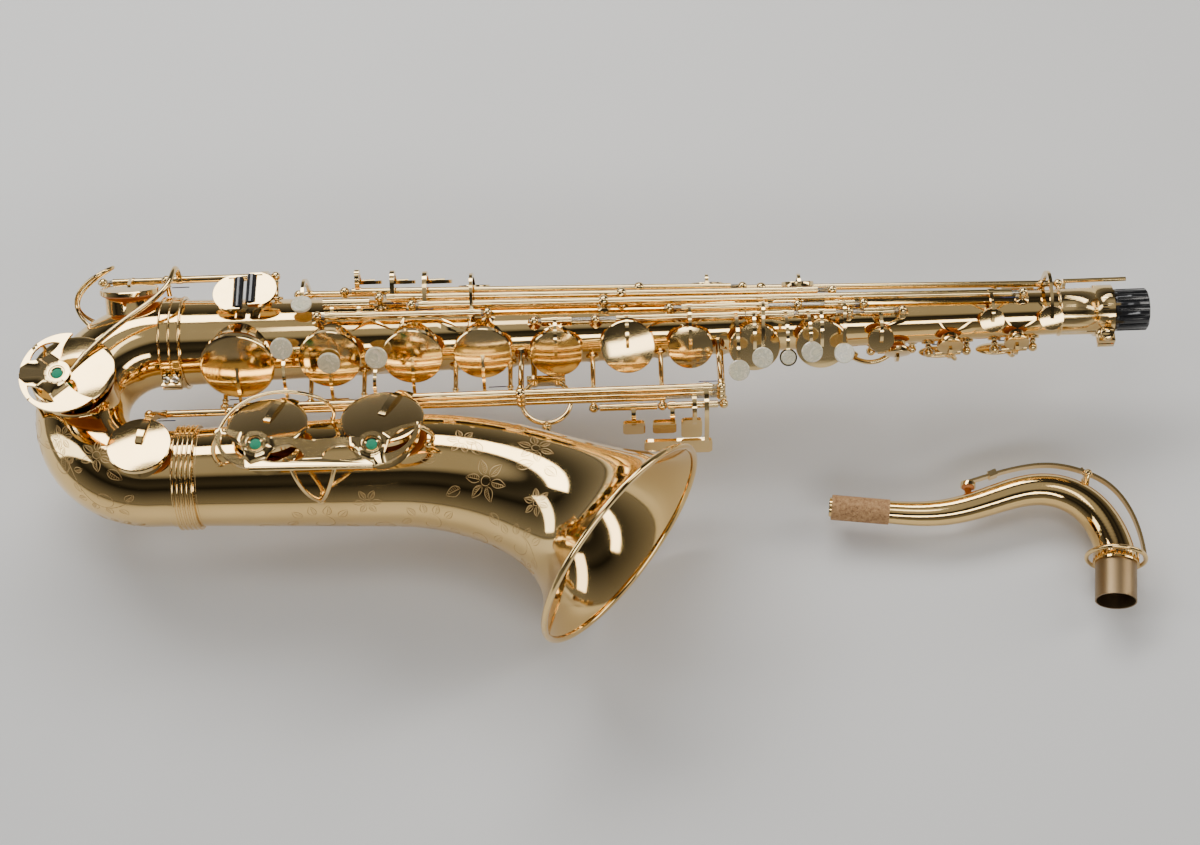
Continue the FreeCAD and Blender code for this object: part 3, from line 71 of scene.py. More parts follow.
class Shader:
    """A node tree being built around one Principled shader."""

    def __init__(self, name):
        self.material = bpy.data.materials.new(name)
        self.material.use_nodes = True
        self.tree = self.material.node_tree
        self.bsdf = self.tree.nodes["Principled BSDF"]
        self.coords = self.node("ShaderNodeTexCoord").outputs["Object"]

    def node(self, kind, **inputs):
        """New node with its inputs set. An underscore in a name stands for a space."""
        node = self.tree.nodes.new(kind)
        for key, value in inputs.items():
            self.feed(node, key.replace("_", " "), value)
        return node

    def feed(self, node, name, value):
        """Links a socket or sets a plain value."""
        socket = node.inputs[name]
        if isinstance(value, bpy.types.NodeSocket):
            self.tree.links.new(value, socket)
        else:
            socket.default_value = value

    def set(self, **inputs):
        for key, value in inputs.items():
            self.feed(self.bsdf, key.replace("_", " "), value)

    def stretched(self, stretch):
        mapping = self.node("ShaderNodeMapping", Vector=self.coords)
        mapping.inputs["Scale"].default_value = stretch
        return mapping.outputs["Vector"]

    def noise(self, scale, detail=4.0, roughness=0.55, stretch=(1, 1, 1), distortion=0.0):
        node = self.node("ShaderNodeTexNoise", Vector=self.stretched(stretch), Scale=scale,
                         Detail=detail, Roughness=roughness, Distortion=distortion)
        return node.outputs["Fac"]

    def cells(self, scale):
        """Distance to the nearest of a scatter of points."""
        return self.node("ShaderNodeTexVoronoi", Vector=self.coords, Scale=scale).outputs["Distance"]

    def ramp(self, value, stops):
        """Value run through stops of (place, colour or grey)."""
        node = self.node("ShaderNodeValToRGB", Fac=value)
        elements = node.color_ramp.elements
        while len(elements) < len(stops):
            elements.new(0.5)
        for element, (place, colour) in zip(elements, stops):
            element.position = place
            if not isinstance(colour, tuple):
                colour = (colour, colour, colour)
            element.color = (*colour, 1.0)
        return node.outputs["Color"]

    def mix(self, share, first, second):
        """Colour between two colours."""
        node = self.node("ShaderNodeMix")
        node.data_type = "RGBA"
        self.feed(node, "Factor", share)
        for index, value in ((COLOUR_A, first), (COLOUR_B, second)):
            if isinstance(value, bpy.types.NodeSocket):
                self.tree.links.new(value, node.inputs[index])
            else:
                node.inputs[index].default_value = (*value, 1.0)
        return node.outputs[MIXED_COLOUR]

    def math(self, operation, first, second):
        node = self.node("ShaderNodeMath")
        node.operation = operation
        for index, value in enumerate((first, second)):
            if isinstance(value, bpy.types.NodeSocket):
                self.tree.links.new(value, node.inputs[index])
            else:
                node.inputs[index].default_value = value
        return node.outputs["Value"]

    def bump(self, height, strength, distance):
        """Relief on the surface, laid over any relief that is already there."""
        node = self.node("ShaderNodeBump", Height=height, Strength=strength, Distance=distance)
        normal = self.bsdf.inputs["Normal"]
        if normal.is_linked:
            self.feed(node, "Normal", normal.links[0].from_socket)
        self.feed(self.bsdf, "Normal", node.outputs["Normal"])


def brass(name, bright, deep, tarnish, smooth, wear, spots, lacquer=0.5):
    """Brass with drifting tone, tarnish spots, hairlines, worn patches and a share of lacquer."""
    paint = Shader(name)
    drift = paint.ramp(paint.noise(9.0, 3.0), [(0.35, 0.0), (0.68, 1.0)])
    tone = paint.mix(drift, bright, deep)
    freckle = paint.ramp(paint.cells(520.0), [(0.045, 1.0), (0.11, 0.0)])
    scatter = paint.ramp(paint.noise(34.0, 2.0), [(0.52, 0.0), (0.66, 1.0)])
    freckle = paint.math("MULTIPLY", paint.math("MULTIPLY", freckle, scatter), spots)
    tone = paint.mix(freckle, tone, tarnish)
    worn = paint.ramp(paint.noise(26.0, 6.0, 0.7), [(0.56, 0.0), (0.74, 1.0)])
    worn = paint.math("MULTIPLY", worn, wear)
    tone = paint.mix(worn, tone, tarnish)
    hairs = paint.noise(60.0, 8.0, 0.75, (1.0, 22.0, 22.0), 0.4)
    rough = paint.math("ADD", paint.math("MULTIPLY", hairs, 0.10), smooth - 0.04)
    rough = paint.math("ADD", rough, paint.math("MULTIPLY", worn, 0.45))
    rough = paint.math("ADD", rough, paint.math("MULTIPLY", freckle, 0.3))
    paint.set(Base_Color=tone, Metallic=1.0, Roughness=rough)
    paint.set(Coat_Weight=lacquer, Coat_Roughness=0.04, Coat_IOR=1.45)
    paint.set(Coat_Tint=(1.0, 0.93, 0.78, 1.0))
    paint.bump(paint.noise(11.0, 2.0), 0.05, 0.002)
    paint.bump(hairs, 0.04, 0.0002)
    return paint.material


def steel(name, colour, tint, rough):
    """Turned steel: fine rings across the length, with a little discolouring."""
    paint = Shader(name)
    rings = paint.noise(900.0, 3.0, 0.6, (3.0, 0.4, 0.4))
    tone = paint.mix(paint.ramp(paint.noise(70.0, 4.0), [(0.4, 0.0), (0.7, 1.0)]), colour, tint)
    paint.set(Base_Color=tone, Metallic=1.0)
    paint.set(Roughness=paint.math("ADD", paint.math("MULTIPLY", rings, 0.25), rough - 0.12))
    paint.bump(rings, 0.12, 0.0001)
    return paint.material


def nacre():
    """Mother of pearl: cloudy bands of cream, straw and greenish grey."""
    paint = Shader("nacre")
    swirl = paint.noise(110.0, 5.0, 0.6, (1.0, 1.0, 1.0), 2.6)
    bands = paint.ramp(swirl, [(0.30, (0.42, 0.38, 0.26)), (0.42, (0.74, 0.66, 0.46)),
                               (0.52, (0.54, 0.50, 0.36)), (0.62, (0.82, 0.74, 0.56)),
                               (0.75, (0.62, 0.50, 0.38))])
    paint.set(Base_Color=bands, Metallic=0.0, Roughness=0.25, Coat_Weight=0.4, Coat_Roughness=0.05)
    paint.set(Subsurface_Weight=0.15, Subsurface_Scale=0.002)
    paint.bump(swirl, 0.06, 0.0004)
    return paint.material


def leather():
    """Tan pad skin with a fine pebbled grain."""
    paint = Shader("pad_leather")
    tone = paint.mix(paint.noise(120.0, 5.0), (0.62, 0.25, 0.08), (0.42, 0.15, 0.05))
    paint.set(Base_Color=tone, Roughness=0.55, Specular_IOR_Level=0.4)
    paint.bump(paint.cells(1400.0), 0.35, 0.0002)
    return paint.material


def felt():
    """Emerald wool felt with matted fibres."""
    paint = Shader("green_felt")
    fibres = paint.noise(1500.0, 9.0, 0.8, (1.0, 1.0, 1.0), 1.5)
    tone = paint.mix(fibres, (0.0, 0.13, 0.07), (0.02, 0.36, 0.19))
    paint.set(Base_Color=tone, Roughness=0.95, Sheen_Weight=0.7, Sheen_Roughness=0.5)
    paint.set(Sheen_Tint=(0.3, 0.9, 0.6, 1.0))
    paint.bump(fibres, 0.7, 0.0006)
    return paint.material


def cork():
    """Sanded cork with dark pores."""
    paint = Shader("natural_cork")
    grain = paint.noise(420.0, 6.0, 0.7)
    tone = paint.ramp(grain, [(0.30, (0.13, 0.055, 0.02)), (0.45, (0.36, 0.19, 0.075)),
                              (0.62, (0.50, 0.29, 0.125)), (0.8, (0.60, 0.38, 0.18))])
    pores = paint.ramp(paint.cells(700.0), [(0.12, 1.0), (0.3, 0.0)])
    speck = paint.ramp(paint.noise(260.0, 3.0), [(0.5, 0.0), (0.6, 1.0)])
    pores = paint.math("MULTIPLY", pores, speck)
    paint.set(Base_Color=paint.mix(pores, tone, (0.07, 0.03, 0.015)), Roughness=0.72)
    paint.bump(pores, -0.6, 0.0004)
    paint.bump(grain, 0.4, 0.0003)
    return paint.material


def plastic():
    """Glossy black plastic with a haze of fine scuffs."""
    paint = Shader("black_plastic")
    scuffs = paint.noise(240.0, 8.0, 0.8, (1.0, 9.0, 1.0))
    paint.set(Base_Color=paint.mix(scuffs, (0.006, 0.006, 0.007), (0.022, 0.022, 0.024)))
    paint.set(Roughness=paint.math("ADD", paint.math("MULTIPLY", scuffs, 0.22), 0.06))
    paint.set(Coat_Weight=0.3, Coat_Roughness=0.06)
    paint.bump(scuffs, 0.05, 0.0002)
    return paint.material


BRIGHT = (0.90, 0.66, 0.30)
DEEP = (0.80, 0.55, 0.22)
TARNISH = (0.33, 0.19, 0.07)
MATERIALS = {
    "lacquered_brass": brass("lacquered_brass", BRIGHT, DEEP, TARNISH,
                             smooth=0.06, wear=0.12, spots=0.4, lacquer=0.6),
    "key_brass": brass("key_brass", (0.90, 0.68, 0.34), (0.78, 0.55, 0.24), TARNISH,
                       smooth=0.09, wear=0.2, spots=0.3),
    "raw_brass": brass("raw_brass", (0.34, 0.24, 0.13), (0.24, 0.16, 0.08), (0.11, 0.065, 0.03),
                       smooth=0.40, wear=0.9, spots=0.9, lacquer=0.0),
    "rod_steel": steel("rod_steel", (0.60, 0.57, 0.50), (0.42, 0.36, 0.27), rough=0.28),
    "blued_steel": steel("blued_steel", (0.06, 0.09, 0.22), (0.16, 0.10, 0.14), rough=0.22),
    "green_felt": felt(),
    "natural_cork": cork(),
    "black_plastic": plastic(),
}
EXTRA = {"nacre": nacre(), "pad_leather": leather()}


# ---------------------------------------------------------------- the tubes' true surfaces

RING_LOW, RING_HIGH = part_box("bell_ferrule")
BELL_AXIS_Y = (RING_LOW.y + RING_HIGH.y) / 2
BODY_START_X = BODY_LOW.x
BODY_TAPER = 0.0239
BOW_LEAD = 10.0 * MM
BOW_BEND = (BODY_AXIS_Y - BELL_AXIS_Y) / 2
BOW_RADIUS = 31.5 * MM      # middling, for the spacing of the engraving round the bow
BELL_START_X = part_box("bell")[0].x
BELL_STRAIGHT = 135.0 * MM
BELL_BEND = 216.0 * MM
BELL_TURN = math.radians(41.0)
BELL_LAST = 8.5 * MM
BELL_LENGTH = BELL_STRAIGHT + BELL_TURN * BELL_BEND + BELL_LAST
BELL_START_RADIUS = 32.3 * MM
BELL_TAPER = 0.0345
FLARE_GROWTH = 34.4 * MM
FLARE_REACH = 27.4 * MM


def bell_frame(arc_length):
    """Centre and forward direction of the bell at an arc length from its start."""
    turn = min(max((arc_length - BELL_STRAIGHT) / BELL_BEND, 0.0), BELL_TURN)
    forward = Vector((math.cos(turn), -math.sin(turn), 0))
    straight = min(arc_length, BELL_STRAIGHT)
    centre = Vector((BELL_START_X + straight, BELL_AXIS_Y, BODY_AXIS_Z))
    centre += Vector((BELL_BEND * math.sin(turn), -BELL_BEND * (1 - math.cos(turn)), 0))
    past_bend = max(arc_length - BELL_STRAIGHT - BELL_TURN * BELL_BEND, 0.0)
    return centre + forward * past_bend, forward


def bell_radius(arc_length):
    """Radius of the bell's wall: a cone that opens exponentially into the flare."""
    return (BELL_START_RADIUS + BELL_TAPER * arc_length
            + FLARE_GROWTH * math.exp((arc_length - BELL_LENGTH) / FLARE_REACH))


def bell_place(point):
    """Arc length on the bell's centre line beside a point."""
    along = point.x - BELL_START_X
    if along < BELL_STRAIGHT:
        return along
    down = BELL_BEND - (BELL_AXIS_Y - point.y)
    turn = math.atan2(along - BELL_STRAIGHT, down)
    if turn < BELL_TURN:
        return BELL_STRAIGHT + BELL_BEND * turn
    end, forward = bell_frame(BELL_LENGTH - BELL_LAST)
    return BELL_LENGTH - BELL_LAST + (point - end).dot(forward)


def bell_normal(point):
    """Outward direction of the bell's wall beside a point."""
    arc_length = bell_place(point)
    centre, forward = bell_frame(arc_length)
    radial = point - centre
    radial -= forward * radial.dot(forward)
    flare = FLARE_GROWTH / FLARE_REACH * math.exp((arc_length - BELL_LENGTH) / FLARE_REACH)
    return (radial.normalized() - forward * (BELL_TAPER + flare)).normalized()


def body_normal(point):
    """Outward direction of the body tube's wall beside a point."""
    radial = Vector((0, point.y - BODY_AXIS_Y, point.z - BODY_AXIS_Z)).normalized()
    return (radial + Vector((BODY_TAPER, 0, 0))).normalized()


def bow_normal(point):
    """Outward direction of the bow's wall: straight leads at both ends of a half ring."""
    bend_x = BODY_START_X - BOW_LEAD
    bend_y = BODY_AXIS_Y - BOW_BEND
    if point.x < bend_x:
        way = Vector((point.x - bend_x, point.y - bend_y, 0)).normalized()
        centre = Vector((bend_x, bend_y, BODY_AXIS_Z)) + way * BOW_BEND
        return (point - centre).normalized()
    axis_y = BODY_AXIS_Y if point.y > bend_y else BELL_AXIS_Y
    return Vector((0, point.y - axis_y, point.z - BODY_AXIS_Z)).normalized()


WALL_TOLERANCE = math.radians(14)


def true_normals(data, normal_at):
    """Shades the walls of a tube with its exact surface direction, inside and out."""
    agree = math.cos(WALL_TOLERANCE)
    normals = [(0.0, 0.0, 0.0)] * len(data.loops)
    for polygon in data.polygons:
        for index in polygon.loop_indices:
            point = data.vertices[data.loops[index].vertex_index].co
            normal = normal_at(point)
            side = normal.dot(polygon.normal)
            if abs(side) > agree:
                normals[index] = tuple(normal if side > 0 else -normal)
    data.normals_split_custom_set(normals)


TRUE_NORMALS = {"bell": bell_normal, "body_tube": body_normal, "bow": bow_normal}


# ---------------------------------------------------------------- visual pieces from CAD nodes

SMOOTH_ANGLE = math.radians(32)
PEARL_THICKEST = 2.6 * MM


def welded(node):
    """Copy of a node's mesh with its split vertices joined."""
    mesh = bmesh.new()
    mesh.from_mesh(NODES[node].data)
    bmesh.ops.remove_doubles(mesh, verts=mesh.verts, dist=1e-6)
    return mesh


def add_piece(name, mesh, material, body):
    """New object from a bmesh, smooth up to SMOOTH_ANGLE, riding on a body."""
    data = bpy.data.meshes.new(name)
    mesh.to_mesh(data)
    mesh.free()
    data.materials.clear()
    data.materials.append(material)
    for polygon in data.polygons:
        polygon.use_smooth = True
        polygon.material_index = 0
    data.set_sharp_from_angle(angle=SMOOTH_ANGLE)
    piece = bpy.data.objects.new(name, data)
    bpy.context.scene.collection.objects.link(piece)
    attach(piece, body)
    return piece


def loose_parts(mesh):
    """Lists of faces, one list per connected part."""
    seen = set()
    parts = []
    for first in mesh.faces:
        if first in seen:
            continue
        seen.add(first)
        part = []
        stack = [first]
        while stack:
            face = stack.pop()
            part.append(face)
            for edge in face.edges:
                for other in edge.link_faces:
                    if other not in seen:
                        seen.add(other)
                        stack.append(other)
        parts.append(part)
    return parts


def solids_in(node):
    """A node's solids as separate bmeshes. Each is a run of faces that closes on itself."""
    data = NODES[node].data
    places = {}
    same = []
    for vert in data.vertices:
        place = tuple(round(value * 1e6) for value in vert.co)
        same.append(places.setdefault(place, vert.index))
    solids = []
    faces = []
    open_edges = set()
    for polygon in data.polygons:
        corners = [same[index] for index in polygon.vertices]
        if len(set(corners)) < 3:
            continue
        faces.append(corners)
        for start, end in zip(corners, corners[1:] + corners[:1]):
            if (end, start) in open_edges:
                open_edges.remove((end, start))
            else:
                open_edges.add((start, end))
        if not open_edges:
            solids.append(faces)
            faces = []
    if faces:
        solids.append(faces)
    return [solid_mesh(data, faces) for faces in solids]


def solid_mesh(data, faces):
    """New bmesh from corner lists into a mesh's vertices."""
    mesh = bmesh.new()
    copies = {}
    for corners in faces:
        for index in corners:
            if index not in copies:
                copies[index] = mesh.verts.new(data.vertices[index].co)
        if not mesh.faces.get([copies[index] for index in corners]):
            mesh.faces.new([copies[index] for index in corners])
    mesh.normal_update()
    return mesh


def reach(faces):
    """Distance from a part's middle to its furthest point."""
    verts = {vert for face in faces for vert in face.verts}
    centre = sum((vert.co for vert in verts), Vector()) / len(verts)
    return max((vert.co - centre).length for vert in verts)


def split_key(node):
    """Brass, pads and pearls of a key as separate pieces."""
    meshes = solids_in(node)
    reaches = [reach(mesh.faces) for mesh in meshes]
    brass_index = reaches.index(max(reaches))
    counts = {"pad": 0, "pearl": 0}
    for index, mesh in enumerate(meshes):
        name = node + "_brass"
        material = MATERIALS[SLOT_OF[node]]
        if index != brass_index:
            kind = "pearl" if thickness(mesh.faces) < PEARL_THICKEST else "pad"
            counts[kind] += 1
            name = f"{node}_{kind}_{counts[kind]}"
            material = EXTRA["nacre" if kind == "pearl" else "pad_leather"]
        piece = add_piece(name, mesh, material, BODY_OF[node])
        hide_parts(node)


def thickness(faces):
    """Least width of a part, measured along its faces' directions."""
    verts = list({vert for face in faces for vert in face.verts})
    least = 1.0
    for face in faces:
        heights = [vert.co.dot(face.normal) for vert in verts]
        least = min(least, max(heights) - min(heights))
    return least


LEVERS = ("g_sharp_touch", "low_c_sharp_touch", "octave_thumb_lever")
for node in NODES:
    if node.endswith("_key") or node in LEVERS:
        split_key(node)
    else:
        slot = SLOT_OF[node]
        piece = add_piece(node + "_skin", welded(node), MATERIALS[slot], BODY_OF[node])
        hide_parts(node)
        if node in TRUE_NORMALS:
            true_normals(piece.data, TRUE_NORMALS[node])


# ---------------------------------------------------------------- engraving

CUT_WIDTH = 1.7 * MM
CUT_EDGE = 0.01 * MM
CUT_RIDGE = 0.07 * MM
CUT_DEPTH = 0.10 * MM
LONGEST_JUMP = 4.0 * MM
RAY_START = 0.2
PETALS = 6
FEATHER_STEP = 2.1


class Engraving:
    """Fine dark lines on a tube, drawn in millimetres along it and round it from its top."""

    def __init__(self, name, skin, frame_at, radius_at):
        self.tree = BVHTree.FromPolygons([v.co for v in skin.data.vertices],
                                         [p.vertices for p in skin.data.polygons])
        self.name = name
        self.frame_at = frame_at
        self.radius_at = radius_at
        self.verts = []
        self.faces = []

    def on_surface(self, along, across):
        """Surface point and normal at a place in millimetres."""
        centre, forward = self.frame_at(along * MM)
        angle = across * MM / self.radius_at(along * MM)
        sideways = forward.cross(Vector((0, 0, 1)))
        way = Vector((0, 0, 1)) * math.cos(angle) + sideways * math.sin(angle)
        point, normal, *_ = self.tree.ray_cast(centre + way * RAY_START, -way)
        return point, normal

    def stroke(self, points, width=0.32):
        """One tapered line along points, dropped if it leaves the tube or crosses a step."""
        places = [self.on_surface(*point) for point in points]
        if len(places) < 3 or any(place[0] is None for place in places):
            return
        jumps = [(b[0] - a[0]).length for a, b in zip(places, places[1:])]
        if max(jumps) > LONGEST_JUMP:
            return
        base = len(self.verts)
        last = len(places) - 1
        for index, (point, normal) in enumerate(places):
            before = places[max(index - 1, 0)][0]
            after = places[min(index + 1, last)][0]
            side = (after - before).cross(normal).normalized()
            taper = max(math.sin(math.pi * index / last) ** 0.6, 0.05)
            half = CUT_WIDTH * width / 2 * taper
            self.verts += [point - side * half + normal * CUT_EDGE, point + normal * CUT_RIDGE,
                           point + side * half + normal * CUT_EDGE, point - normal * CUT_DEPTH]
            if index:
                now, then = base + 4 * index, base + 4 * (index - 1)
                for corner in range(4):
                    following = (corner + 1) % 4
                    self.faces.append((then + corner, now + corner, now + following,
                                       then + following))
        end = base + 4 * last
        self.faces += [(base, base + 1, base + 2, base + 3), (end + 3, end + 2, end + 1, end)]

    def arc(self, x, y, radius, start, sweep, width=0.32, shrink=1.0, steps=14):
        """Arc whose radius runs to radius * shrink, so that it can curl into a scroll."""
        points = []
        for step in range(steps + 1):
            t = step / steps
            r = radius * (1 + (shrink - 1) * t)
            angle = start + sweep * t
            points.append((x + r * math.cos(angle), y + r * math.sin(angle)))
        self.stroke(points, width)

    def leaf(self, x, y, angle, length, fat=0.30):
        """Pointed leaf with a midrib and shading cuts on one side."""
        ahead = (math.cos(angle), math.sin(angle))
        aside = (-ahead[1], ahead[0])

        def spot(t, lift):
            return (x + ahead[0] * t * length + aside[0] * lift * length,
                    y + ahead[1] * t * length + aside[1] * lift * length)

        steps = 9
        for way in (-1, 1):
            self.stroke([spot(k / steps, way * fat * math.sin(math.pi * (k / steps) ** 0.8))
                         for k in range(steps + 1)], 0.30)
        self.stroke([spot(0.9 * k / 4, 0.0) for k in range(5)], 0.22)
        for cut in range(1, 7):
            t = cut / 8
            edge = fat * math.sin(math.pi * (t + 0.1) ** 0.8) * 0.9
            self.stroke([spot(t + 0.1 * k / 3, edge * k / 3) for k in range(4)], 0.16)

    def flower(self, x, y, size):
        """Open flower: a round eye and pointed petals."""
        self.arc(x, y, size * 0.22, 0, 2 * math.pi, 0.25)
        for petal in range(PETALS):
            angle = 2 * math.pi * petal / PETALS
            self.leaf(x + size * 0.26 * math.cos(angle), y + size * 0.26 * math.sin(angle),
                      angle, size * 0.74, 0.26)

    def vine(self, start, end, middle, swing, waves, hand=1):
        """Wavy stem with a curling scroll and leaves at every crest."""
        steps = 12 * waves
        stem = []
        for step in range(steps + 1):
            t = step / steps
            stem.append((start + (end - start) * t,
                         middle + hand * swing * math.sin(math.pi * waves * t)))
        for first in range(0, steps, 6):
            self.stroke(stem[first:first + 8], 0.42)
        span = (end - start) / waves
        for wave in range(waves):
            side = hand * (1 if wave % 2 == 0 else -1)
            x = start + span * (wave + 0.5)
            y = middle + side * swing
            self.arc(x, y - side * swing * 0.75, swing * 0.72, side * math.pi / 2,
                     -side * 1.75 * math.pi, 0.36, 0.25, 22)
            for turn in (-0.9, -0.3, 0.3, 0.9):
                self.leaf(x + turn * span * 0.35, y - side * swing * 0.25 * abs(turn),
                          side * (math.pi / 2 - turn * 0.8), swing * 0.62)
            self.leaf(x + span * 0.42, middle, -side * 0.9, swing * 0.7)

    def border(self, along, across_low, across_high):
        """Band of slanted feather cuts between two rings."""
        across = across_low
        while across < across_high:
            self.stroke([(along + 5.0 * k / 4, across + 1.3 * math.sin(k / 4 * 1.6))
                         for k in range(5)], 0.26)
            across += FEATHER_STEP
        for ring in (-0.8, 5.8):
            count = int((across_high - across_low) / 3)
            self.stroke([(along + ring, across_low + 3.0 * k) for k in range(count)], 0.26)

    def finish(self, body):
        """All lines as one piece of closed strips."""
        mesh = bmesh.new()
        verts = [mesh.verts.new(co) for co in self.verts]
        for face in self.faces:
            mesh.faces.new([verts[index] for index in face])
        bmesh.ops.recalc_face_normals(mesh, faces=mesh.faces)
        add_piece(self.name, mesh, EXTRA["engraved_brass"], body)


def engrave_bell():
    """Generic vines, flowers and leaves on the bell, and a feathered band at its start."""
    work = Engraving("bell_engraving", bpy.data.objects["bell_skin"], bell_frame, bell_radius)
    work.border(3.0, -75, 75)
    work.vine(30, 262, 62, 15, 6, 1)
    work.vine(60, 250, 100, 11, 5, -1)
    work.vine(20, 130, -60, 10, 3, -1)
    for along, across, size in ((205, 18, 15), (228, -14, 12), (182, -6, 10), (246, 22, 10),
                                (120, 38, 10), (80, 82, 9), (252, 78, 11)):
        work.flower(along, across, size)
    for along, across, angle, length in ((188, 26, 2.6, 12), (214, 38, 0.8, 12), (222, 4, -0.6, 12),
                                         (196, 2, -2.2, 12), (210, -24, -1.2, 11),
                                         (240, -2, 0.3, 11), (168, 8, 3.0, 12)):
        work.leaf(along, across, angle, length)
    work.finish(BODY_OF["bell"])


def bow_frame(arc_length):
    """Centre and direction of the bow at an arc length from the body tube."""
    if arc_length <= BOW_LEAD:
        return Vector((BODY_START_X - arc_length, BODY_AXIS_Y, BODY_AXIS_Z)), Vector((-1, 0, 0))
    turn = min((arc_length - BOW_LEAD) / BOW_BEND, math.pi)
    centre = Vector((BODY_START_X - BOW_LEAD - BOW_BEND * math.sin(turn),
                     BODY_AXIS_Y - BOW_BEND * (1 - math.cos(turn)), BODY_AXIS_Z))
    return centre, Vector((-math.cos(turn), -math.sin(turn), 0))


def engrave_bow():
    """Generic vines, flowers and leaves on the bow."""
    work = Engraving("bow_engraving", bpy.data.objects["bow_skin"], bow_frame,
                     lambda arc_length: BOW_RADIUS)
    work.vine(90, 165, 30, 9, 3, 1)
    work.vine(105, 170, 62, 8, 3, -1)
    work.flower(142, 6, 11)
    work.flower(118, 14, 8)
    work.leaf(128, 20, 1.2, 10)
    work.leaf(152, 12, 0.4, 10)
    work.finish(BODY_OF["bow"])


RING_STEPS = 40
FELT_RING_OUTLINE = [(5.3, -0.4), (5.3, 0.5), (4.9, 0.8), (4.4, 0.8), (3.6, 0.2), (3.6, -0.4)]


def turned_ring(name, centre, direction, outline):
    """Brass ring turned about direction from an outline of (radius, height) in millimetres."""
    aside = direction.orthogonal().normalized()
    across = direction.cross(aside)
    mesh = bmesh.new()
    rings = []
    for step in range(RING_STEPS):
        angle = 2 * math.pi * step / RING_STEPS
        way = aside * math.cos(angle) + across * math.sin(angle)
        rings.append([mesh.verts.new(centre + (way * radius + direction * height) * MM)
                      for radius, height in outline])
    count = len(outline)
    for step in range(RING_STEPS):
        now, after = rings[step], rings[(step + 1) % RING_STEPS]
        for point in range(count):
            following = (point + 1) % count
            mesh.faces.new((now[point], after[point], after[following], now[following]))
    bmesh.ops.recalc_face_normals(mesh, faces=mesh.faces)
    add_piece(name, mesh, MATERIALS["key_brass"], "root")


def felt_rings():
    """Brass ring that holds each felt bumper, with the felt showing inside it."""
    felts = bpy.data.objects["guard_felts_skin"]
    mesh = bmesh.new()
    mesh.from_mesh(felts.data)
    for index, part in enumerate(loose_parts(mesh)):
        points = [vert.co for face in part for vert in face.verts]
        low, high = (Vector([pick(point[axis] for point in points) for axis in range(3)])
                     for pick in (min, max))
        top = Vector(((low.x + high.x) / 2, (low.y + high.y) / 2, high.z))
        turned_ring(f"felt_ring_{index + 1}", top, Vector((0, 0, 1)), FELT_RING_OUTLINE)
    mesh.free()


felt_rings()
EXTRA["engraved_brass"] = brass("engraved_brass", (0.66, 0.45, 0.20), (0.50, 0.32, 0.13),
                                (0.22, 0.12, 0.05), smooth=0.55, wear=0.3, spots=0.2, lacquer=0.0)
engrave_bell()
engrave_bow()


# ---------------------------------------------------------------- light, floor and camera

FLOOR_HALF = 6.0
MIDDLE = Vector((0.0, 0.12, 0.05))


def floor_piece():
    """Plain pale floor: one large quad under the instrument."""
    half = FLOOR_HALF
    mesh = bpy.data.meshes.new("floor")
    corners = [(-half, -half, 0), (half, -half, 0), (half, half, 0), (-half, half, 0)]
    mesh.from_pydata(corners, [], [(0, 1, 2, 3)])
    floor = bpy.data.objects.new("floor", mesh)
    bpy.context.scene.collection.objects.link(floor)
    paint = Shader("floor_paper")
    tone = paint.mix(paint.noise(3.0, 4.0), (0.70, 0.69, 0.67), (0.76, 0.75, 0.73))
    paint.set(Base_Color=tone, Roughness=0.85)
    paint.bump(paint.noise(900.0, 3.0), 0.05, 0.0002)
    mesh.materials.append(paint.material)


def area_light(name, place, width, height, power, colour=(1, 1, 1)):
    """Softbox of a width and height in metres, aimed at the instrument's middle."""
    light = bpy.data.lights.new(name, "AREA")
    light.shape = "RECTANGLE"
    light.size = width
    light.size_y = height
    light.energy = power
    light.color = colour
    lamp = bpy.data.objects.new(name, light)
    lamp.location = place
    aim = MIDDLE - Vector(place)
    lamp.rotation_euler = aim.to_track_quat("-Z", "Y").to_euler()
    bpy.context.scene.collection.objects.link(lamp)


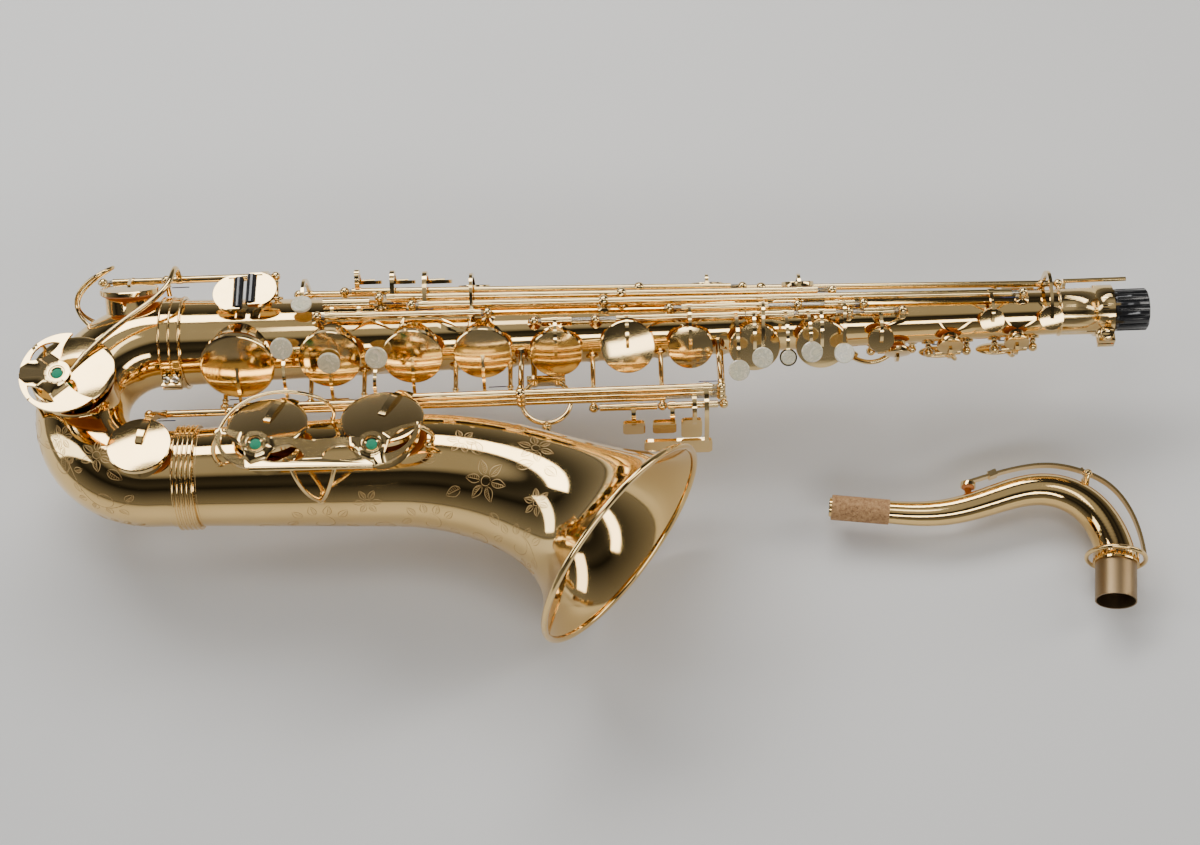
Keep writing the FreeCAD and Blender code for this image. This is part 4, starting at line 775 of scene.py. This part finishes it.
def world_light():
    """Dark studio with a bright ceiling and a dim floor, for contrast in the brass."""
    world = bpy.data.worlds.new("studio")
    bpy.context.scene.world = world
    world.use_nodes = True
    tree = world.node_tree
    background = tree.nodes["Background"]
    coords = tree.nodes.new("ShaderNodeTexCoord")
    split = tree.nodes.new("ShaderNodeSeparateXYZ")
    ramp = tree.nodes.new("ShaderNodeValToRGB")
    tree.links.new(coords.outputs["Generated"], split.inputs[0])
    tree.links.new(split.outputs["Z"], ramp.inputs["Fac"])
    tree.links.new(ramp.outputs["Color"], background.inputs["Color"])
    stops = ((0.0, 0.25), (0.50, 0.05), (0.58, 0.012), (0.72, 0.05), (0.86, 0.02), (0.93, 0.45))
    elements = ramp.color_ramp.elements
    while len(elements) < len(stops):
        elements.new(0.5)
    for element, (place, grey) in zip(elements, stops):
        element.position = place
        element.color = (grey, grey, grey, 1.0)
    background.inputs["Strength"].default_value = 0.9


CAMERA_PLACE = Vector((0.0261, -0.6624, 1.3823))
CAMERA_TARGET = Vector((0.0029, 0.0140, 0.0787))
CAMERA_ROLL = math.radians(-3.72)
CAMERA_LENS = 66.0


def add_camera():
    """Camera above and in front of the instrument, aimed at its middle."""
    data = bpy.data.cameras.new("camera")
    data.lens = CAMERA_LENS
    data.clip_start = 0.01
    lens = bpy.data.objects.new("camera", data)
    forward = CAMERA_TARGET - CAMERA_PLACE
    turn = forward.to_track_quat("-Z", "Y").to_matrix().to_4x4()
    roll = Matrix.Rotation(CAMERA_ROLL, 4, "Z")
    lens.matrix_world = Matrix.Translation(CAMERA_PLACE) @ turn @ roll
    bpy.context.scene.collection.objects.link(lens)
    bpy.context.scene.camera = lens


floor_piece()
world_light()
area_light("key_softbox", (-0.35, 1.05, 1.3), 1.7, 0.55, 26)
area_light("front_softbox", (0.4, -1.25, 1.05), 1.6, 0.30, 11)
area_light("side_softbox", (1.5, 0.3, 0.9), 0.4, 1.3, 8, (1.0, 0.96, 0.90))
area_light("left_softbox", (-1.5, 0.0, 0.8), 0.35, 1.2, 6, (0.95, 0.98, 1.0))
area_light("top_softbox", (0.0, 0.05, 2.1), 0.9, 0.4, 4)
add_camera()
